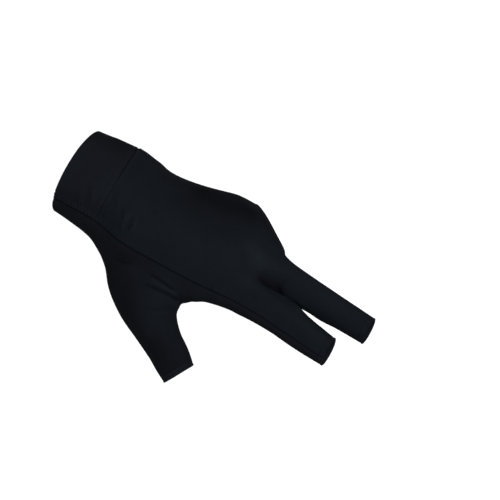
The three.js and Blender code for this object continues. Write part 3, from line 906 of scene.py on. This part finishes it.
# %% The cuff's seam and the proud cuff
GATHERS_START = 0.57
RUNG_PITCH = 2.2
RUNG_HEIGHT = 0.45
RUNG_FADE = (2.6, 3.8)
ROLL_HEIGHT = 0.35
ROLL_AWAY = 1.15
ROLL_WIDTH = 0.8
PROUD_RISE = (0.1, 1.6)
CUFF_SINK = 0.1
away = away_from["cuff"]
cuff_share = away_from_line(base, seam_runs["cuff"])[1]
cuff_run = cuff_share * length_of(seam_runs["cuff"])
gathered = ramp(cuff_share, GATHERS_START - 0.05, GATHERS_START + 0.05)
rungs = beads(cuff_run, away, RUNG_PITCH, LONG_ROW) * (1 - ramp(away, *RUNG_FADE)) * on_cuff
relief -= GROOVES["cuff"] * (1 - 0.75 * gathered) * bell(away, GROOVE_WIDTH)
relief += ROLL_HEIGHT * bell(away - ROLL_AWAY, ROLL_WIDTH) * (1 - 0.6 * gathered) * ~on_cuff
relief += RUNG_HEIGHT * gathered * (rungs - BEAD_MIDDLE * (rungs > 0))
proud = np.prod([ramp(away_from[name], *PROUD_RISE) for name in ("cuff", "main", "outer")], axis=0)
lift = (relief + broad + (CUFF_RAISE - CUFF_SINK) * proud * on_cuff) * MM
print("lift runs from", round(lift.min() / MM, 2), "to", round(lift.max() / MM, 2), "mm")

# %% [markdown]
# ## Painted light and shade
# Light and shade are painted into the cloth's colour here. Over the back and the knuckles, which
# face the light, the cloth is painted paler and a little greener. Towards the edges, which turn away
# from it, and in the fork, it is painted dark and blue. Broad soft strokes, which are marks again,
# note that painted light and shade for every point. The relief joins them: grooves and creases get
# painted shade, and raised beads and ridges get a painted highlight.

# %% Broad strokes of painted light and shade
# Each stroke paints light or shade into the colour: a positive amount is a painted highlight, a negative
# one is painted shade.
PAINTED_SHADING_STROKES = {
    "middle of the back": Mark(((112, 190), (150, 217), (190, 243), (225, 258)), 13, 0.18),
    "knuckle": Mark(((249, 247), (258, 257)), 8, 0.25),
    "hollow behind the knuckle": Mark(((243, 253), (242.5, 261), (246, 269)), 1.8, -0.11),
    "outer edge": Mark(((203, 195), (220, 201), (250, 213)), 9.5, -0.38),
    "beside that edge": Mark(((178, 203), (205, 219), (225, 231)), 7, -0.08),
    "opening's edge": Mark(((265, 221), (278, 244)), 3.5, -0.12),
    "top edge by the cuff": Mark(((97, 134), (138, 151)), 4, -0.13),
    "top edge": Mark(((168, 178), (195, 188), (250, 201)), 4.5, -0.15),
    "cuff's top": Mark(((97, 136), (120, 148)), 7, -0.22),
    "cuff's mouth": Mark(((84, 147), (72, 163), (66, 175)), 6, 0.1),
    "corner by the cuff": Mark(((58, 196), (88, 205), (105, 214), (120, 230)), 6, -0.11),
    "strip by the cuff": Mark(((58, 207), (85, 222), (100, 235)), 3.5, -0.03),
    "strip by the thumb": Mark(((108, 240), (125, 256), (145, 263)), 5, -0.14),
    "root of the thumb": Mark(((122, 262), (128, 285), (131, 302)), 6, -0.15),
    "strip by the index": Mark(((185, 290), (210, 302), (240, 314), (275, 334)), 5, -0.1),
    "thumb's far side": Mark(((110, 262), (122, 300), (135, 322)), 8, -0.12),
    "thumb's end": Mark(((156, 344), (173, 368)), 8, -0.23),
    "fork's start": Mark(((261, 277), (269, 283), (279, 290)), 3.3, -0.3),
    "fork's far side": Mark(((266, 273), (282, 284)), 4, -0.14),
    "middle finger's flank": Mark(((280, 290), (297, 301)), 3, -0.22),
    "index finger's back": Mark(((246, 281), (275, 298), (300, 315), (325, 340)), 4.5, 0.18),
    "middle finger's back": Mark(((262, 266), (290, 271), (315, 285), (345, 308)), 6, 0.17),
}
# The relief paints shade into grooves and creases, and a highlight onto beads and ridges.
MIDDLE_PAINTED_SHADING = 0.5
RELIEF_PAINTED_SHADING = 0.55
painted_shading_table = np.clip(MIDDLE_PAINTED_SHADING + drawn(PAINTED_SHADING_STROKES, False) + RELIEF_PAINTED_SHADING * relief, 0, 1)
print("shade runs from", round(painted_shading_table.min(), 2), "to", round(painted_shading_table.max(), 2))

# %% [markdown]
# Before the points move, each one notes where the inside of the cloth lies below it. The inside
# follows the folds and the creases but not the fine beads. Each point also notes its painted light
# and shade. These layers travel with the points when the cloths are cut apart.

# %% Lift the shell
inner_place = shell.verts.layers.float_vector.new("inner_place")
inner_way = shell.verts.layers.float_vector.new("inner_way")
# This layer holds the painted light and shade of each point.
painted_shading = shell.verts.layers.float.new("painted_shading")
for number, point in enumerate(shell.verts):
    place, normal = Vector(base[number]), Vector(normals[number])
    point[inner_place] = place + normal * inside_lift[number] * MM
    point[inner_way] = -normal
    point[painted_shading] = painted_shading_table[number]
    point.co = place + normal * lift[number]
shell.normal_update()
shell_tree = BVHTree.FromBMesh(shell)
print("shell lifted:", len(shell.verts), "points")

# %% [markdown]
# ## Cutting the cloths apart
# Each cloth becomes a piece of its own, a closed wall of real thickness, because the glove is
# looked into at its open ends. Every piece ends up as a plain object at the origin, with its place
# in its mesh, its faces smooth, and its normals pointing outwards.

# %% Turn a shape into a piece
def new_piece(name, shape):
    """An object at the origin with smooth faces, made of a bmesh, which is then freed."""
    bmesh.ops.recalc_face_normals(shape, faces=shape.faces)
    if shape.calc_volume(signed=True) < 0:
        bmesh.ops.reverse_faces(shape, faces=shape.faces)
    for face in shape.faces:
        face.smooth = True
        face.material_index = 0
    print(name, len(shape.faces), "faces,", round(shape.calc_volume() / MM**3), "cubic mm")
    mesh = bpy.data.meshes.new(name)
    shape.to_mesh(mesh)
    shape.free()
    piece = bpy.data.objects.new(name, mesh)
    bpy.context.scene.collection.objects.link(piece)
    return piece


pieces = {}

# %% [markdown]
# A Solidify modifier could give the thickness, but it would copy every bead to the inside. Here a
# copy of the shell keeps only one cloth's faces, an inset trims its edge back by half the gap at a
# seam, and an extrusion makes the wall: the extruded copy is the outside, and the first sheet moves
# to the smoother inside that its points noted. The edge round the cuff's mouth is a fold, so its
# corners are bevelled round. Edges too short to see are dissolved at the end.

# %% Make the cloth pieces
MOUTH_X = 4 * MM
EDGE_ROUNDING = 0.35
FOLD_ROUNDING = 0.6
SMALLEST_EDGE = 0.02 * MM
SHARP_TURN = 0.4
INSIDE = {name: CLOTH for name in CLOTHS}
INSIDE["cuff_band"] = CUFF_CLOTH - CUFF_RAISE


def at_mouth(edge):
    """Whether an edge runs round the cuff's mouth."""
    a, b = (point.co for point in edge.verts)
    return max(a.x, b.x) < MOUTH_X and abs((b - a).normalized().x) < 0.7


def cut_cloth(cloth, name):
    """One cloth of the shell as a closed wall."""
    shape = shell.copy()
    others = [face for face in shape.faces if cloth_of(face) != cloth]
    bmesh.ops.delete(shape, geom=others, context="FACES")
    trimmed = bmesh.ops.inset_region(
        shape, faces=shape.faces[:], thickness=SEAM_GAP / 2 * MM, use_boundary=True, use_even_offset=True
    )
    bmesh.ops.delete(shape, geom=trimmed["faces"], context="FACES")
    place = shape.verts.layers.float_vector["inner_place"]
    way = shape.verts.layers.float_vector["inner_way"]
    painted_shading = shape.verts.layers.float["painted_shading"]
    made = bmesh.ops.extrude_face_region(shape, geom=shape.faces[:])
    outside = {item for item in made["geom"] if isinstance(item, bmesh.types.BMVert)}
    for point in shape.verts:
        if point not in outside:
            point.co = point[place] + point[way] * INSIDE[cloth] * MM
            # The inside wall takes the middle of the painted light and shade.
            point[painted_shading] = MIDDLE_PAINTED_SHADING
    rim = [
        edge
        for edge in shape.edges
        if len(edge.link_faces) == 2
        and edge.link_faces[0].normal.dot(edge.link_faces[1].normal) < SHARP_TURN
        and len(outside.intersection(edge.verts)) != 1
    ]
    for edge in rim:
        edge.smooth = False
    mouth = [edge for edge in rim if at_mouth(edge)]
    offset = FOLD_ROUNDING if cloth == "cuff_band" else EDGE_ROUNDING
    bmesh.ops.bevel(
        shape, geom=mouth, offset=offset * MM, affect="EDGES", segments=3, profile=0.5, material=-1
    )
    bmesh.ops.dissolve_degenerate(shape, dist=SMALLEST_EDGE, edges=shape.edges)
    return new_piece(name, shape)


CLOTH_NAMES = ["back_knit", "palm_knit", "thumb_knit", "folded_cuff"]
for cloth, name in zip(CLOTHS, CLOTH_NAMES):
    pieces[cloth] = cut_cloth(cloth, name)

# %% [markdown]
# ## Hems
# At every open end the cloth is turned in and sewn down. From outside that shows as a flat strip,
# then a dark line where the stitches sink in, then the rolled edge. A hem is one profile that
# follows the open edge all the way round. The profile is drawn once, as shares of the hem's width
# and as heights in millimetres, and each of its points is one more extrusion of the edge's ring.

# %% Hem profile
HEM_PROFILE = [
    *((-0.02, 0), (0.2, 0.02), (0.4, 0.02), (0.48, -0.06), (0.54, -0.25), (0.6, -0.08)),
    *((0.68, 0.12), (0.78, 0.24), (0.88, 0.2), (0.96, 0), (1, -0.3), (0.98, -0.7)),
    *((0.9, -1.05), (0.75, -1.25), (0.5, -1.35), (0.25, -1.3), (-0.02, -1.05)),
]
STITCH_LINE = 0.54


def shell_rims():
    """The open edges of the shell, each as a closed list of points."""
    links = {}
    for edge in shell.edges:
        if edge.is_boundary:
            for point in edge.verts:
                links.setdefault(point, []).append(edge.other_vert(point))
    rims = []
    while links:
        start = now = next(iter(links))
        rim = []
        while now in links:
            rim.append(now)
            others = links.pop(now)
            now = next((other for other in others if other in links), start)
        rims.append(rim)
    return rims


def middle_of(rim):
    """The middle of a closed list of points."""
    return sum((point.co for point in rim), Vector()) / len(rim)


rims = shell_rims()
by_x = sorted(rims, key=lambda rim: middle_of(rim).x)
middle_rim = by_x[-1]
thumb_rim, index_rim, opening_rim = sorted(by_x[1:-1], key=lambda rim: middle_of(rim).y)
print("points in the rims:", [len(rim) for rim in rims])

# %% [markdown]
# A hem has to run on from its cloth, so each point of an open edge gives three things: its place,
# the cloth's normal there, and the way straight out of the cloth. The ways are averaged with their
# neighbours, because one crooked way would kink the hem.

# %% The frame of a rim
WAY_SMOOTHING = 6


def rim_frame(rim):
    """For each point of a rim its place, its normal, and the way out of the cloth."""
    ways = []
    for number, point in enumerate(rim):
        along = rim[(number + 1) % len(rim)].co - rim[number - 1].co
        way = along.cross(point.normal).normalized()
        face = point.link_faces[0]
        if way.dot(face.calc_center_median() - point.co) > 0:
            way.negate()
        ways.append(way)
    for _ in range(WAY_SMOOTHING):
        ways = [
            (ways[number - 1] + way * 2 + ways[(number + 1) % len(ways)]).normalized()
            for number, way in enumerate(ways)
        ]
    return [(point.co.copy(), point.normal.copy(), way) for point, way in zip(rim, ways)]


way_out = sum((way for _, _, way in rim_frame(thumb_rim)), Vector()).normalized()
print("the thumb's end opens towards", [round(value, 2) for value in way_out])

# %% [markdown]
# A circle is laid on the open edge, grown through the profile, and bridged back to its start. That
# makes one closed band, which shows a turned edge from outside and from inside.

# %% Turn the hems
def hem_place(spot, reach, height):
    """A place on a hem: so far out of the cloth, and so far above it, in millimetres."""
    place, normal, way = spot
    return place + (way * reach + normal * height) * MM


def turn_hem(name, rim, width):
    """A hem with a stitched line and a rolled edge, all round one rim."""
    spots = rim_frame(rim)
    shape = bmesh.new()
    rings = []
    for share, height in HEM_PROFILE:
        places = [hem_place(spot, share * width, height) for spot in spots]
        if rings:
            rings.append(grow(shape, rings[-1], places))
        else:
            ring = bmesh.ops.create_circle(shape, segments=len(rim), radius=1)["verts"]
            for point, place in zip(ring, places):
                point.co = place
            rings.append(ring)
    ends = [shape.edges.get(pair) for ring in (rings[0], rings[-1]) for pair in neighbours(ring)]
    bmesh.ops.bridge_loops(shape, edges=ends)
    return new_piece(name, shape)


hem_rims = {
    "thumb_hem": (thumb_rim, HEM_START + HEM_WIDTH),
    "index_hem": (index_rim, HEM_START + HEM_WIDTH),
    "middle_hem": (middle_rim, HEM_START + HEM_WIDTH),
    "opening_hem": (opening_rim, HEM_START + OPENING_HEM_WIDTH),
}
for name, (rim, width) in hem_rims.items():
    pieces[name] = turn_hem(name.replace("hem", "turned_edge"), rim, width)

# %% [markdown]
# ## Threads
# The sewing thread is black too, but it is smooth and catches a little more light than the knit,
# which is what makes a seam sparkle. A thread could be drawn in the material, but only a real one
# stands up from the cloth. Each stitch is a short curve with a round bevel. All the stitches of a
# seam are splines of one curve object, which is then made a mesh.

# %% Stitch helper
THREAD = 0.11


def sew(name, stitches, thickness=THREAD):
    """One mesh of many short threads, each given as a list of places."""
    curve = bpy.data.curves.new(name, "CURVE")
    curve.dimensions = "3D"
    curve.bevel_depth = thickness * MM
    curve.bevel_resolution = 1
    curve.use_fill_caps = True
    for places in stitches:
        spline = curve.splines.new("POLY")
        spline.points.add(len(places) - 1)
        for point, place in zip(spline.points, places):
            point.co = (*place, 1)
            point.radius = 1
    thing = bpy.data.objects.new(name, curve)
    bpy.context.scene.collection.objects.link(thing)
    mesh = finished_mesh(thing)
    bpy.data.objects.remove(thing)
    mesh.shade_smooth()
    piece = bpy.data.objects.new(name, mesh)
    bpy.context.scene.collection.objects.link(piece)
    print(name, len(stitches), "stitches")
    return piece


def on_shell(place, height):
    """The place on the shell nearest to another, raised a little, in millimetres."""
    spot, normal, _, _ = shell_tree.find_nearest(place)
    return spot + normal * height * MM


def along_run(run, distance):
    """The place and the direction at a distance in millimetres along a run of places."""
    left = distance * MM
    for a, b in zip(run, run[1:]):
        step = (b - a).length
        if left <= step:
            return a.lerp(b, left / step), (b - a).normalized()
        left -= step
    return run[-1], (run[-1] - run[-2]).normalized()


# %% [markdown]
# An overlock machine ties the two cloths of the main seam with a net of threads. From outside it
# shows as a row of small V shapes on the upper cloth, one to each bead, as far as the long pleats
# on the index finger. On the lower part of the cuff's seam the threads lie straight across it,
# like rungs. A stitch is placed by its distance along the seam and its reach to one side, and then
# dropped onto the shell.

# %% Overlock threads of the main seam and the cuff's seam
def beside_seam(name, distance, reach, side):
    """A place near a seam: a distance along it and a reach to one side of it, in millimetres."""
    place, along = along_run(seam_runs[name], max(distance, 0.2))
    aside = shell_tree.find_nearest(place)[1].cross(along).normalized()
    if aside.dot(side) < 0:
        aside.negate()
    return on_shell(place + aside * reach * MM, 0.4 * THREAD)


NET_SIDES = (0.9, 3.9)
NET_MIDDLE = 2.4
to_back = Vector((0, 1, 0))
overlock = []
distance = 1
while distance < PLEATS_START:
    pitch = CUFF_BEAD_PITCH if distance < CUFF_LENGTH else BEAD_PITCH
    steps = [distance + pitch * share for share in (0, 0.25, 0.5, 0.75, 1)]
    for side in NET_SIDES:
        reaches = [mix(side, NET_MIDDLE, share) for share in (0, 0.5, 1, 0.5, 0)]
        overlock.append([beside_seam("main", *pair, to_back) for pair in zip(steps, reaches)])
    distance += pitch
pieces["main_seam_threads"] = sew("main_seam_threads", overlock)

RUNG_REACHES = (0.3, 1, 1.7, 2.4, 3)
RUNG_SLANT = 0.25
to_cuff = Vector((-1, 0, 0))
cuff_length = length_of(seam_runs["cuff"])
rungs = []
distance = GATHERS_START * cuff_length
while distance < cuff_length - RUNG_PITCH:
    pairs = [(distance - RUNG_SLANT * reach, reach) for reach in RUNG_REACHES]
    rungs.append([beside_seam("cuff", *pair, to_cuff) for pair in pairs])
    distance += RUNG_PITCH
pieces["cuff_seam_threads"] = sew("cuff_seam_threads", rungs)

# %% [markdown]
# A hem is held by one row of straight stitches in its dark line. The row closes on itself, so the
# pitch is stretched a little until a whole number of stitches fits the way round.

# %% Stitches of the hems
STITCH_PITCH = 2.6
STITCH_SINK = 0.2
HEM_THREAD = 0.12


def hem_stitches(rim, width):
    """Short straight stitches that lie in the dark line of a hem."""
    spots = rim_frame(rim)
    places = [hem_place(spot, STITCH_LINE * width, -STITCH_SINK) for spot in spots]
    places.append(places[0])
    total = length_of(places)
    count = round(total / STITCH_PITCH)
    pitch = total / count
    stitches = []
    for number in range(count):
        ends = [(number + share) * pitch for share in (0.1, 0.3, 0.5, 0.7)]
        stitches.append([along_run(places, end)[0] for end in ends])
    return stitches


stitches = [stitch for rim, width in hem_rims.values() for stitch in hem_stitches(rim, width)]
pieces["hem_threads"] = sew("hem_threads", stitches, HEM_THREAD)

# %% [markdown]
# ## Cloth
# A material is a tree of nodes. A few helpers keep it readable: one makes a node, and the others
# each make one kind of node with the inputs that a cloth needs, and give its output.

# %% Node helpers
def node(tree, kind, **settings):
    """A new shader node with some of its settings changed."""
    made = tree.nodes.new(kind)
    for name, value in settings.items():
        setattr(made, name, value)
    return made


def wave(tree, place, direction, pitch):
    """Bands across a map in millimetres, one band for each pitch."""
    bands = node(tree, "ShaderNodeTexWave", bands_direction=direction)
    bands.inputs["Scale"].default_value = math.tau / 20 / pitch
    bands.inputs["Distortion"].default_value = 0.6
    bands.inputs["Detail"].default_value = 1
    tree.links.new(place, bands.inputs["Vector"])
    return bands.outputs["Fac"]


def blotches(tree, place, size):
    """Noise with blotches of about a size in millimetres."""
    texture = node(tree, "ShaderNodeTexNoise")
    texture.inputs["Scale"].default_value = 1 / (size * MM)
    texture.inputs["Detail"].default_value = 3
    tree.links.new(place, texture.inputs["Vector"])
    return texture.outputs["Fac"]


def arithmetic(tree, operation, first, second):
    """A math node on two sockets or numbers."""
    made = node(tree, "ShaderNodeMath", operation=operation)
    for socket, value in zip(made.inputs, (first, second)):
        if isinstance(value, (int, float)):
            socket.default_value = value
        else:
            tree.links.new(value, socket)
    return made.outputs[0]


def between(tree, value, low, high):
    """A value from 0 to 1 spread between low and high."""
    made = node(tree, "ShaderNodeMapRange")
    made.inputs["To Min"].default_value = low
    made.inputs["To Max"].default_value = high
    tree.links.new(value, made.inputs["Value"])
    return made.outputs["Result"]


# %% [markdown]
# The knit is nearly black. The painted light and shade that each point noted goes through a colour
# ramp, from a shaded dark blue to a lit, paler and greener grey, and noise makes the colour and the
# roughness uneven. The ribs of the knit run along the fingers: two wave textures on the cloth's own
# map cross to make small loops, which lift the surface as a bump, because a loop is far too small to
# model. The hems and the threads have no map and no painted light and shade, so they take the
# ramp's middle and a bump of noise.

# %% Cloth material
# The ramp's two ends are a shaded and a lit copy of each colour, for painted shade and painted light.
SHADED_SHARES = (0.36, 0.3, 0.38)
LIT_SHARES = (1.45, 1.72, 1.64)
WALE_PITCH = 1.1
COURSE_PITCH = 0.8


def cloth_material(name, colour, mapped=True, roughness=0.85, bump=0.12):
    """A near-black stretch knit, or without a map its smooth thread or hem."""
    material = bpy.data.materials.new(name)
    material.use_nodes = True
    tree = material.node_tree
    shader = tree.nodes["Principled BSDF"]
    shader.inputs["Specular IOR Level"].default_value = 0.03
    place = node(tree, "ShaderNodeTexCoord").outputs["Object"]

    broad = between(tree, blotches(tree, place, size=9), low=0.85, high=1.1)
    fine = blotches(tree, place, size=0.8)
    unevenness = arithmetic(tree, "ADD", broad, between(tree, fine, low=-0.2, high=0.25))
    # This ramp turns the painted light and shade into colour.
    painted_shading_ramp = node(tree, "ShaderNodeValToRGB")
    for stop, shares in zip(painted_shading_ramp.color_ramp.elements, (SHADED_SHARES, LIT_SHARES)):
        stop.color = (*(value * share for value, share in zip(colour, shares)), 1)
    if mapped:
        painted_shading = node(tree, "ShaderNodeAttribute", attribute_name="painted_shading").outputs["Fac"]
        tree.links.new(painted_shading, painted_shading_ramp.inputs["Fac"])
    scaled = node(tree, "ShaderNodeVectorMath", operation="SCALE")
    tree.links.new(painted_shading_ramp.outputs["Color"], scaled.inputs[0])
    tree.links.new(unevenness, scaled.inputs["Scale"])
    tree.links.new(scaled.outputs["Vector"], shader.inputs["Base Color"])
    rough = blotches(tree, place, size=4)
    tree.links.new(between(tree, rough, roughness - 0.1, roughness + 0.1), shader.inputs["Roughness"])

    height = fine
    if mapped:
        cloth = node(tree, "ShaderNodeUVMap", uv_map="ClothMap").outputs["UV"]
        wales = wave(tree, cloth, "X", WALE_PITCH)
        courses = wave(tree, cloth, "Y", COURSE_PITCH)
        loops = arithmetic(tree, "MULTIPLY", wales, courses)
        height = arithmetic(tree, "ADD", loops, arithmetic(tree, "MULTIPLY", fine, 0.5))
    surface = node(tree, "ShaderNodeBump")
    surface.inputs["Strength"].default_value = 0.6
    surface.inputs["Distance"].default_value = bump * MM
    tree.links.new(height, surface.inputs["Height"])
    tree.links.new(surface.outputs["Normal"], shader.inputs["Normal"])
    return material


# %% [markdown]
# Five finishes come from that one material. The cuff is folded double and a little redder, and the
# hems have been pressed smoother. The thread is the smoothest. Its paler colour is partly its own and
# partly a painted highlight for its glint.

# %% Finishes
COLOURS = {
    "panel_cloth": (0.0042, 0.0048, 0.0063),
    "palm_cloth": (0.0041, 0.0045, 0.006),
    "cuff_cloth": (0.0048, 0.005, 0.0067),
    "hem_cloth": (0.0046, 0.005, 0.0066),
    # The thread's paler colour is partly a painted highlight.
    "thread": (0.0064, 0.0072, 0.0092),
}
OTHERWISE = {
    "hem_cloth": {"mapped": False, "roughness": 0.8, "bump": 0.2},
    "thread": {"mapped": False, "roughness": 0.55, "bump": 0.05},
}
finishes = {
    name: cloth_material(name, colour, **OTHERWISE.get(name, {})) for name, colour in COLOURS.items()
}
print("materials:", list(finishes))

# %% [markdown]
# ## Putting the glove on its frame
# Each piece takes the material that the slot table names for it, and takes the place of its plain
# twin. Nothing on the glove moves, so every piece rides the one body.

# %% Dress the pieces and tie them to the frame
SLOTS = {
    "back_panel": "panel_cloth",
    "palm_panel": "palm_cloth",
    "thumb_panel": "palm_cloth",
    "cuff_band": "cuff_cloth",
}
for name, piece in pieces.items():
    slot = SLOTS.get(name, "hem_cloth")
    finish = "thread" if "threads" in name else slot
    piece.data.materials.clear()
    piece.data.materials.append(finishes[finish])
    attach(piece, "root")
    if name in frame["nodes"]:
        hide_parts(name)
print("pieces on the frame:", len(pieces))

# %% [markdown]
# ## Studio
# The photograph is a plain product shot on white. The floor lies well below the glove, so that no
# hard shadow joins them, and a pale world fills the shadows. The floor is hidden from rays that
# light the glove, because the black cloth would grey from below.

# %% Floor and world
FLOOR_SIZE = 12
FLOOR_HEIGHT = -400 * MM
bpy.ops.mesh.primitive_plane_add(size=FLOOR_SIZE, location=(0, 0, FLOOR_HEIGHT))
floor = bpy.context.object
floor.name = "floor"
floor_paint = bpy.data.materials.new("floor_paint")
floor_paint.use_nodes = True
paint = floor_paint.node_tree.nodes["Principled BSDF"]
paint.inputs["Base Color"].default_value = (0.95, 0.95, 0.95, 1)
paint.inputs["Roughness"].default_value = 0.9
floor.data.materials.append(floor_paint)
floor.visible_diffuse = False
floor.visible_glossy = False
floor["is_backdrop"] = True

world = bpy.data.worlds.new("studio")
world.use_nodes = True
world.node_tree.nodes["Background"].inputs["Color"].default_value = (1, 0.94, 0.99, 1)
world.node_tree.nodes["Background"].inputs["Strength"].default_value = 0.46
bpy.context.scene.world = world
print("floor at", round(FLOOR_HEIGHT / MM), "mm")

# %% [markdown]
# A big soft light hangs near the camera. Two weak fill lights stand beyond the cuff and to the
# right, so that the black cloth shows its form from the other sides too.

# %% Lights
LIGHT_DISTANCE = 1600 * MM


def soft_light(name, right, up, back, size, power):
    """A square light that is aimed at the glove, placed by the camera's own directions."""
    lamp = bpy.data.lights.new(name, "AREA")
    lamp.size = size
    lamp.energy = power
    thing = bpy.data.objects.new(name, lamp)
    way = (view_right * right + view_up * up + view_back * back).normalized()
    thing.location = VIEW_TARGET + way * LIGHT_DISTANCE
    thing.rotation_euler = way.to_track_quat("Z", "Y").to_euler()
    bpy.context.scene.collection.objects.link(thing)
    return thing


key = soft_light("key", right=0.25, up=0, back=1, size=1.4, power=39)
key.data.color = (0.93, 1, 1)
soft_light("fill from the cuff", right=-0.3, up=0.9, back=-0.3, size=1, power=5)
soft_light("fill from the right", right=0.95, up=0.05, back=0.1, size=0.8, power=4)
bpy.context.scene.view_settings.view_transform = "Standard"
print("a soft key light, two fills and a pale world")

# %% [markdown]
# ## Size
# The fine pieces have to lie where the measured model lies. The box round all of them is measured,
# and its corners are compared with those of the measured model, in millimetres.

# %% Compare the size
visual_low, visual_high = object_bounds()
for label, cad, seen in (("low", cad_low, visual_low), ("high", cad_high, visual_high)):
    print(label, "corner differs by", [round((b - a) / MM, 2) for a, b in zip(cad, seen)], "mm")
